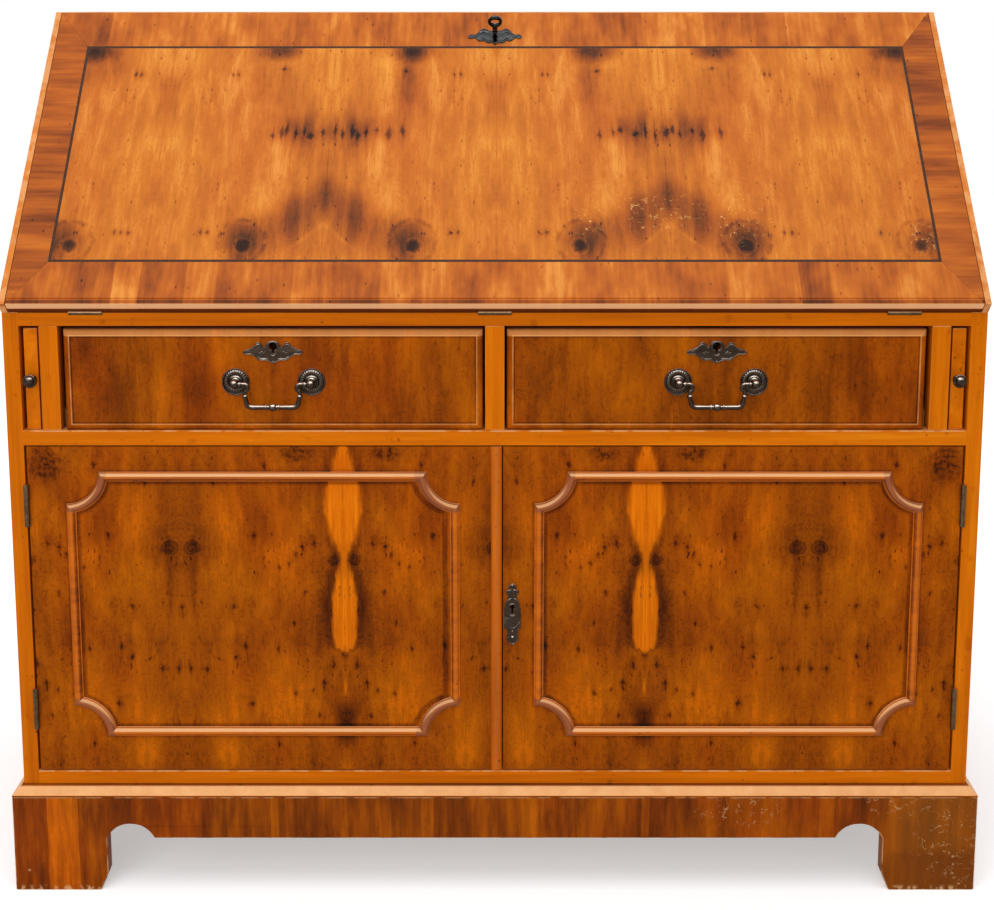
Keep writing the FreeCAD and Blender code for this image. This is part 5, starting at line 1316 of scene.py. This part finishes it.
CURL_HALF: Line = (
    (0.0, 0.86), (0.13, 0.74), (0.25, 0.80), (0.36, 0.97), (0.47, 1.0), (0.56, 0.78), (0.66, 0.44),
    (0.78, 0.24),
    (0.90, 0.27), (0.99, 0.12), (0.98, -0.12), (0.88, -0.18), (0.80, -0.06), (0.72, -0.16), (0.65, -0.40),
    (0.52, -0.52), (0.42, -0.42), (0.35, -0.64), (0.22, -0.76), (0.13, -0.68), (0.06, -0.86), (0.0, -1.0),
)
CURL_SCROLLS: Sequence[Line] = (
    ((0.16, 0.10), (0.28, 0.34), (0.42, 0.62), (0.54, 0.44), (0.64, 0.10), (0.78, 0.02), (0.90, 0.06)),
    ((0.12, -0.46), (0.26, -0.48), (0.40, -0.20), (0.54, -0.28)),
)
SHIELD_HALF: Line = (
    (0.0, 1.0), (0.40, 0.94), (0.46, 0.87), (0.37, 0.81), (0.70, 0.77), (0.80, 0.72), (0.60, 0.66),
    (0.52, 0.55),
    (0.62, 0.44), (0.83, 0.38), (0.90, 0.27), (1.0, 0.11), (0.98, -0.15), (1.0, -0.38), (0.94, -0.46),
    (0.66, -0.55), (0.60, -0.67), (0.72, -0.77), (0.58, -0.88), (0.30, -0.97), (0.0, -1.0),
)
SHIELD_SCROLLS: Sequence[Line] = (
    ((0.96, -0.22), (0.68, -0.33), (0.38, -0.42), (0.06, -0.46)),
    ((0.18, 0.52), (0.50, 0.46), (0.78, 0.38)),
    ((0.12, 0.80), (0.44, 0.78), (0.74, 0.72)),
)


@dataclass
class KeyPlate:
    """Shaped cast plate round a keyhole, with a raised rim and scrolls."""

    half: Line
    scrolls: Sequence[Line]
    wide: float
    tall: float
    hole: float
    hole_up: float = 0.0
    drop: float = 0.0085
    slot: float = 0.0012
    thickness: float = 0.0011
    edge: float = 0.0003
    rim: float = 0.0006
    rim_in: tuple[float, float] = (0.0009, 0.0008)
    scroll: float = 0.0009
    scroll_tip: float = 0.0004
    collar_tip: float = 0.0005
    lip: float = 0.0032
    beads: Sequence[tuple[float, float]] = ((-0.86, 0.0011),)

    def cast(self, metal: Castings, place: Matrix) -> None:
        """Add the plate to a casting.

        Args:
            metal: Casting to add to.
            place: Frame of the plate's middle on its board.
        """
        outer = mirrored_outline(self.half, self.wide, self.tall)
        opening = keyhole_line(self.hole, self.slot, self.drop, self.hole_up)
        metal.plate(place, [outer, opening], self.thickness, self.edge)
        inner = mirrored_outline(self.half, self.wide - self.rim_in[0], self.tall - self.rim_in[1])
        metal.wire(place, inner + inner[:1], self.thickness, self.rim)
        collar = arc_line(0.0, self.hole_up, self.hole + self.scroll, -62.0, 242.0, 24)
        metal.wire(place, collar, self.thickness, self.scroll, self.collar_tip)
        lip = arc_line(0.0, self.hole_up - self.drop + 0.001, self.lip, 200.0, 340.0)
        metal.wire(place, lip, self.thickness, self.scroll, self.scroll_tip)
        for scroll in self.scrolls:
            for side in (-1, 1):
                line = [(side * u * self.wide, v * self.tall) for u, v in smooth_line(scroll, 5, False)]
                metal.wire(place, line, self.thickness, self.scroll, self.scroll_tip)
        for height, radius in self.beads:
            metal.ball(place, (0.0, height * self.tall, self.thickness), radius)


@dataclass
class Carcase:
    """Sides, top, rails, back and inner boards of the case."""

    edge: float = 0.0011

    def dress(self, finishes: Finishes) -> None:
        """Give each board its finish."""
        for node in ("side_left", "side_right", "drawer_row_stiles"):
            dress(node, finishes.upright, self.edge)
        for node in ("top_board", "lower_rails", "writing_bed"):
            dress(node, finishes.rail, self.edge)
        dress("top_rail", finishes.top_rail, self.edge)
        dress("back_panel", finishes.back, self.edge)
        for node in ("dust_board", "cupboard_floor", "cupboard_shelf", "drawer_row_partitions",
                     "runner_guides", "door_stops"):
            dress(node, finishes.pale, self.edge)
        for node in ("hinge_frame_leaves", "hinge_pins", "shelf_pins"):
            dress(node, finishes.hinge)


@dataclass
class Base:
    """Plinth with bracket feet and its moulding."""

    edge: float = 0.0009
    worn: float = 0.0013

    def dress(self, finishes: Finishes) -> None:
        """Give each piece its finish."""
        for node in ("plinth_front", "plinth_returns"):
            dress(node, finishes.plinth, self.worn)
        dress("plinth_moulding", finishes.foot_mould)
        dress("foot_blocks", finishes.pale, self.edge)


@dataclass
class Fall:
    """Sloping fall with its stringing, leather, lock and key."""

    plate: KeyPlate
    bow: float = 0.0070
    wire: float = 0.0025
    stand: float = 0.022
    sunk: float = 0.016
    shank: float = 0.0022
    bit: tuple[float, float] = (0.0063, 0.0038)

    def dress(self, finishes: Finishes) -> None:
        """Give the fall's boards and fittings their finishes."""
        dress("fall_panel", finishes.fall)
        dress("fall_stringing", finishes.string)
        dress("fall_leather", finishes.leather)
        dress("fall_hinge_leaves", finishes.hinge)
        for node in ("fall_lock", "fall_bolt"):
            dress(node, finishes.lock)

    def build(self, finishes: Finishes) -> None:
        """Make the key plate and the key."""
        metal = Castings()
        self.plate.cast(metal, slope_place(0.0, KEY_S, FALL_FACE))
        metal.piece("fall_key_plate", finishes.shaded_bronze, "fall", "fall_escutcheon")
        self.key(finishes)

    def key(self, finishes: Finishes) -> None:
        """Make the key standing in the fall's lock."""
        metal = Castings()
        place = slope_place(0.0, KEY_S, FALL_FACE)
        shank = [(0.0, -self.sunk), (self.shank, -self.sunk), (self.shank, 0.009), (0.0034, 0.0098),
                 (0.0036, 0.0112), (0.0027, 0.0124), (0.0025, 0.0142), (0.0032, 0.0152), (0.0034, 0.0164),
                 (0.0026, 0.0176), (0.0023, 0.0195), (0.0030, 0.0215), (0.0, 0.0230)]
        metal.turn(place, shank, 20)
        path, radii = [], []
        centre = self.stand + self.bow
        steps = 40
        for i in range(steps + 1):
            turn = math.tau * i / steps
            path.append(Vector((self.bow * math.sin(turn), 0.0, centre - self.bow * math.cos(turn))))
            radii.append(self.wire * (1.0 + 0.2 * math.cos(2 * turn)))
        metal.sweep(place, path, radii, 12)
        bit = place @ Matrix.Translation((0, 0, -self.sunk)) @ Matrix.Rotation(math.radians(90), 4, "X")
        long, high = self.bit
        metal.plate(bit, [[(0.0, 0.0), (long, 0.0), (long, high), (0.0, high)]], 0.0018, 0.0002)
        metal.piece("fall_lock_key", finishes.shaded_bronze, "key", "fall_key")


@dataclass
class Drawers:
    """Two drawers with key plates, rosettes and swan-neck bails."""

    plate: KeyPlate
    box_edge: float = 0.0004
    rosette: float = 0.016
    petals: int = 28
    petal: float = 0.0004
    stand: float = 0.0135
    post_ball: float = 0.0051
    drop: float = 0.028
    curl: float = 0.0042
    curl_in: float = 0.0115
    curl_turn: float = 150.0
    neck: float = 0.004
    lean: float = 11.5
    corner: float = 0.0062
    corner_up: float = 0.0055

    def dress(self, finishes: Finishes) -> None:
        """Give the drawers' boards their finishes."""
        for side in ("left", "right"):
            dress("drawer_%s_front" % side, finishes.drawer)
            dress("drawer_%s_box" % side, finishes.pale, self.box_edge)
            # The lock is dressed in the dark hinge brass so that the keyhole shows dark: painted shade.
            dress("drawer_%s_lock" % side, finishes.hinge)

    def build(self, finishes: Finishes) -> None:
        """Make both drawers' fittings and bails."""
        for side, sign in (("left", -1), ("right", 1)):
            name = "drawer_" + side
            middle = sign * DRAWER_MID
            metal = Castings()
            self.plate.cast(metal, face_place(middle, DRAWER_FACE, DRAWER_PLATE_Z))
            for hand in (-1, 1):
                self.post(metal, face_place(middle + hand * HANDLE_CENTRES / 2, DRAWER_FACE, HANDLE_Z))
            metal.piece(name + "_metalwork", finishes.bronze, name, name + "_fittings")
            metal = Castings()
            self.bail(metal, face_place(middle, BAIL_Y, HANDLE_Z))
            metal.piece(name + "_swan_bail", finishes.bronze, "bail_" + side, name + "_bail")

    def post(self, metal: Castings, place: Matrix) -> None:
        """Add a petalled rosette and the ball that holds the bail."""
        rim = ((0.0, 0.0), (0.98, 0.0), (1.0, 0.0007), (0.97, 0.0015), (0.91, 0.0015), (0.87, 0.0009))
        petals = ((0.87, 0.0009), (0.80, 0.0018), (0.68, 0.0024), (0.56, 0.0022), (0.50, 0.0014))
        stem = ((0.52, 0.0010), (0.49, 0.0026), (0.43, 0.0032), (0.37, 0.0028), (0.29, 0.0034),
                (0.23, 0.0050), (0.21, self.stand), (0.0, self.stand))
        rings = ((rim, 64, 0, 0.0), (petals, self.petals * 4, self.petals, self.petal), (stem, 32, 0, 0.0))
        for profile, sides, flutes, petal in rings:
            line = [(self.rosette * share, height) for share, height in profile]
            metal.turn(place, line, sides, flutes, petal)
        metal.ball(place, (0.0, 0.0, self.stand), self.post_ball)

    def bail(self, metal: Castings, place: Matrix) -> None:
        """Add the swan-neck bail, hung between the posts: one half and its mirror image."""
        post = HANDLE_CENTRES / 2
        start = post - self.post_ball - 0.0003
        half = [(start + 0.004, 0.0, 0.0017), (start, 0.0, 0.0017), (start - 0.0001, 0.0, 0.0027),
                (start - 0.0018, 0.0, 0.0029), (start - 0.0026, 0.0, 0.0023)]
        curl = arc_line(post - self.curl_in, -self.curl, self.curl, 90.0, 90.0 + self.curl_turn, 12)
        half += [(x, z, 0.0024) for x, z in curl]
        self.leg(half)
        bar, z, _ = half[-1]
        knops = ((0.75, 0.0029), (0.5, 0.0027), (0.36, 0.0026), (0.345, 0.0037), (0.29, 0.0039),
                 (0.275, 0.0026), (0.17, 0.0026), (0.155, 0.0034), (0.09, 0.0042), (0.0, 0.0045))
        half += [(bar * share, z, radius) for share, radius in knops]
        whole = half + [(-x, z, radius) for x, z, radius in reversed(half[:-1])]
        metal.sweep(place, [Vector((x, z, 0.0)) for x, z, _ in whole], [radius for _, _, radius in whole], 16)

    def leg(self, half: list[tuple[float, float, float]]) -> None:
        """Carry the bail's half from its curl down its collared leg and round to its bar."""
        lean = math.radians(270.0 - self.lean)
        heading = math.radians(180.0 + self.curl_turn)
        half += [(x, z, 0.0023) for x, z in bend(half[-1][:2], heading, lean, self.neck)]
        x, z, _ = half[-1]
        for radius in (0.0034, 0.0036, 0.0034, 0.0025):
            x, z = x + 0.0008 * math.cos(lean), z + 0.0008 * math.sin(lean)
            half.append((x, z, radius))
        run = (z + self.drop - self.corner_up) / -math.sin(lean)
        for share in (0.2, 0.4, 0.6, 0.8, 1.0):
            at = run * share
            half.append((x + at * math.cos(lean), z + at * math.sin(lean), 0.0025 + 0.0005 * share))
        half += [(x, z, 0.0030) for x, z in bend(half[-1][:2], lean, math.pi, self.corner)]


@dataclass
class Cupboard:
    """Two doors with applied mouldings, the meeting bead and the right door's key plate."""

    plate: KeyPlate
    edge: float = 0.0005

    def dress(self, finishes: Finishes) -> None:
        """Give the doors their finishes."""
        for side in ("left", "right"):
            dress("door_%s_panel" % side, finishes.door, self.edge)
            dress("door_%s_moulding" % side, finishes.moulding)
            dress("door_%s_hinge_leaves" % side, finishes.hinge)
        dress("door_left_astragal", finishes.bead)
        # The lock is dressed in the dark hinge brass so that the keyhole shows dark: painted shade.
        dress("door_lock", finishes.hinge)
        for node in ("door_lock_bolt", "door_left_bolt", "door_left_bolt_plate"):
            dress(node, finishes.lock)

    def build(self, finishes: Finishes) -> None:
        """Make the right door's key plate."""
        metal = Castings()
        self.plate.cast(metal, face_place(DOOR_PLATE[0], DOOR_FACE, DOOR_PLATE[1]))
        metal.piece("door_key_plate", finishes.bronze, "door_right", "door_escutcheon")


@dataclass
class Lopers:
    """Two pull-out bearers with turned knobs."""

    edge: float = 0.0008

    def dress(self, finishes: Finishes) -> None:
        """Give the bearers and knobs their finishes."""
        for side in ("left", "right"):
            dress("loper_" + side, finishes.deep, self.edge)
            dress("loper_knob_" + side, finishes.bronze)


@dataclass
class Stationery:
    """Pigeonholes and two small trays behind the fall."""

    edge: float = 0.0005

    def dress(self, finishes: Finishes) -> None:
        """Give the inside its finishes."""
        dress("stationery_rack", finishes.rail, self.edge)
        for side in ("left", "right"):
            dress("tray_" + side, finishes.rail, self.edge)
            dress("tray_knob_" + side, finishes.hinge)


def seen_white(tree: bpy.types.NodeTree) -> bpy.types.NodeSocket:
    """1 for rays from the eye, a polish or a glass, and 0 for the rest."""
    path = tree.nodes.new("ShaderNodeLightPath")
    seen = path.outputs["Is Camera Ray"]
    for kind in ("Is Glossy Ray", "Is Transmission Ray"):
        most = tree.nodes.new("ShaderNodeMath")
        most.operation = "MAXIMUM"
        tree.links.new(seen, most.inputs[0])
        tree.links.new(path.outputs[kind], most.inputs[1])
        seen = most.outputs[0]
    return seen


@dataclass
class Studio:
    """Pale floor, soft light and the camera."""

    floor_size: float = 14.0
    floor_glow: float = 0.40
    far_glow: float = 0.22
    spread: tuple[float, float] = (0.55, 1.30)
    daylight: float = 0.50
    lens: float = 60.48
    eye: tuple[float, float, float] = (0.0025, -2.0962, 1.0415)
    pitch: float = 9.28
    shift: tuple[float, float] = (0.0, -0.1761)

    def build(self) -> None:
        """Set up floor, world, lamps and camera."""
        self.floor()
        self.world()
        self.lamp("overhead_softbox", (0.0, -0.9, 3.0), (0.0, 0.0, 0.7), 2.6, 36.0)
        self.lamp("front_softbox", (-1.2, -3.2, 1.6), (0.0, 0.0, 0.5), 2.4, 34.0)
        self.camera()

    def floor(self) -> None:
        """Lay the floor: white to the eye where it is lit, grey in the object's shadow."""
        shape = bmesh.new()
        bmesh.ops.create_grid(shape, x_segments=2, y_segments=2, size=self.floor_size / 2)
        data = bpy.data.meshes.new("studio_floor")
        shape.to_mesh(data)
        shape.free()
        floor = bpy.data.objects.new("studio_floor", data)
        bpy.context.scene.collection.objects.link(floor)
        g = Graph("studio_floor")
        x, y, _ = g.place()
        speck = g.noise(x * 60.0, y * 60.0, 0.0, 3.0)
        diffuse = g.node("ShaderNodeBsdfDiffuse")
        g.put(diffuse.inputs["Color"], g.ramp(speck, ((0.0, (0.92, 0.92, 0.92)), (1.0, (0.95, 0.95, 0.95)))))
        glow = g.node("ShaderNodeEmission")
        spread = abs(x).most(abs(y)).rise(*self.spread)
        strength = Field(g, seen_white(g.tree)) * (self.floor_glow + spread * self.far_glow)
        g.put(glow.inputs["Strength"], strength)
        both = g.node("ShaderNodeAddShader")
        out = g.node("ShaderNodeOutputMaterial")
        g.tree.links.new(diffuse.outputs[0], both.inputs[0])
        g.tree.links.new(glow.outputs[0], both.inputs[1])
        g.tree.links.new(both.outputs[0], out.inputs[0])
        data.materials.append(g.material)

    def world(self) -> None:
        """Light the room evenly; the eye and polished surfaces see it white."""
        world = bpy.data.worlds.new("studio")
        bpy.context.scene.world = world
        world.use_nodes = True
        tree = world.node_tree
        tree.nodes.clear()
        blend = tree.nodes.new("ShaderNodeMapRange")
        blend.inputs["To Min"].default_value = self.daylight
        blend.inputs["To Max"].default_value = 1.0
        tree.links.new(seen_white(tree), blend.inputs["Value"])
        back = tree.nodes.new("ShaderNodeBackground")
        back.inputs["Color"].default_value = (1.0, 1.0, 1.0, 1.0)
        tree.links.new(blend.outputs["Result"], back.inputs["Strength"])
        out = tree.nodes.new("ShaderNodeOutputWorld")
        tree.links.new(back.outputs[0], out.inputs[0])

    def lamp(self, name: str, at: tuple[float, float, float], to: tuple[float, float, float], size: float,
             power: float) -> None:
        """Hang one soft square lamp.

        Args:
            name: Lamp's name.
            at: Where it hangs.
            to: Point that it faces.
            size: Side of the square.
            power: Watts.
        """
        data = bpy.data.lights.new(name, "AREA")
        data.size = size
        data.energy = power
        lamp = bpy.data.objects.new(name, data)
        lamp.location = at
        lamp.rotation_euler = (Vector(to) - Vector(at)).to_track_quat("-Z", "Y").to_euler()
        bpy.context.scene.collection.objects.link(lamp)

    def camera(self) -> None:
        """Place the camera at the photograph's view."""
        data = bpy.data.cameras.new("front_view")
        data.sensor_width = 36.0
        data.lens = self.lens
        data.shift_x, data.shift_y = self.shift
        data.clip_start = 0.05
        camera = bpy.data.objects.new("front_view", data)
        camera.location = self.eye
        camera.rotation_euler = (math.radians(90.0 - self.pitch), 0.0, 0.0)
        bpy.context.scene.collection.objects.link(camera)
        bpy.context.scene.camera = camera
        bpy.context.scene.view_settings.view_transform = "Standard"


def main() -> None:
    """Build the escritoire's looks, piece by piece."""
    logging.basicConfig(level=logging.INFO, format="%(name)s: %(message)s")
    Studio().build()
    finishes = Finishes()
    Carcase().dress(finishes)
    Base().dress(finishes)
    fall_plate = KeyPlate(CURL_HALF, CURL_SCROLLS, 0.034, 0.0135, 0.0030)
    drawer_plate = KeyPlate(WING_HALF, WING_SCROLLS, 0.0345, 0.013, 0.0046, 0.0065)
    door_plate = KeyPlate(SHIELD_HALF, SHIELD_SCROLLS, 0.0098, 0.0372, 0.0030, 0.0085,
                          beads=((-0.77, 0.0027), (-0.57, 0.0012), (0.93, 0.0016)))
    for fitted in (Fall(fall_plate), Drawers(drawer_plate), Cupboard(door_plate)):
        fitted.dress(finishes)
        fitted.build(finishes)
    Lopers().dress(finishes)
    Stationery().dress(finishes)


if __name__ == "__main__":
    main()
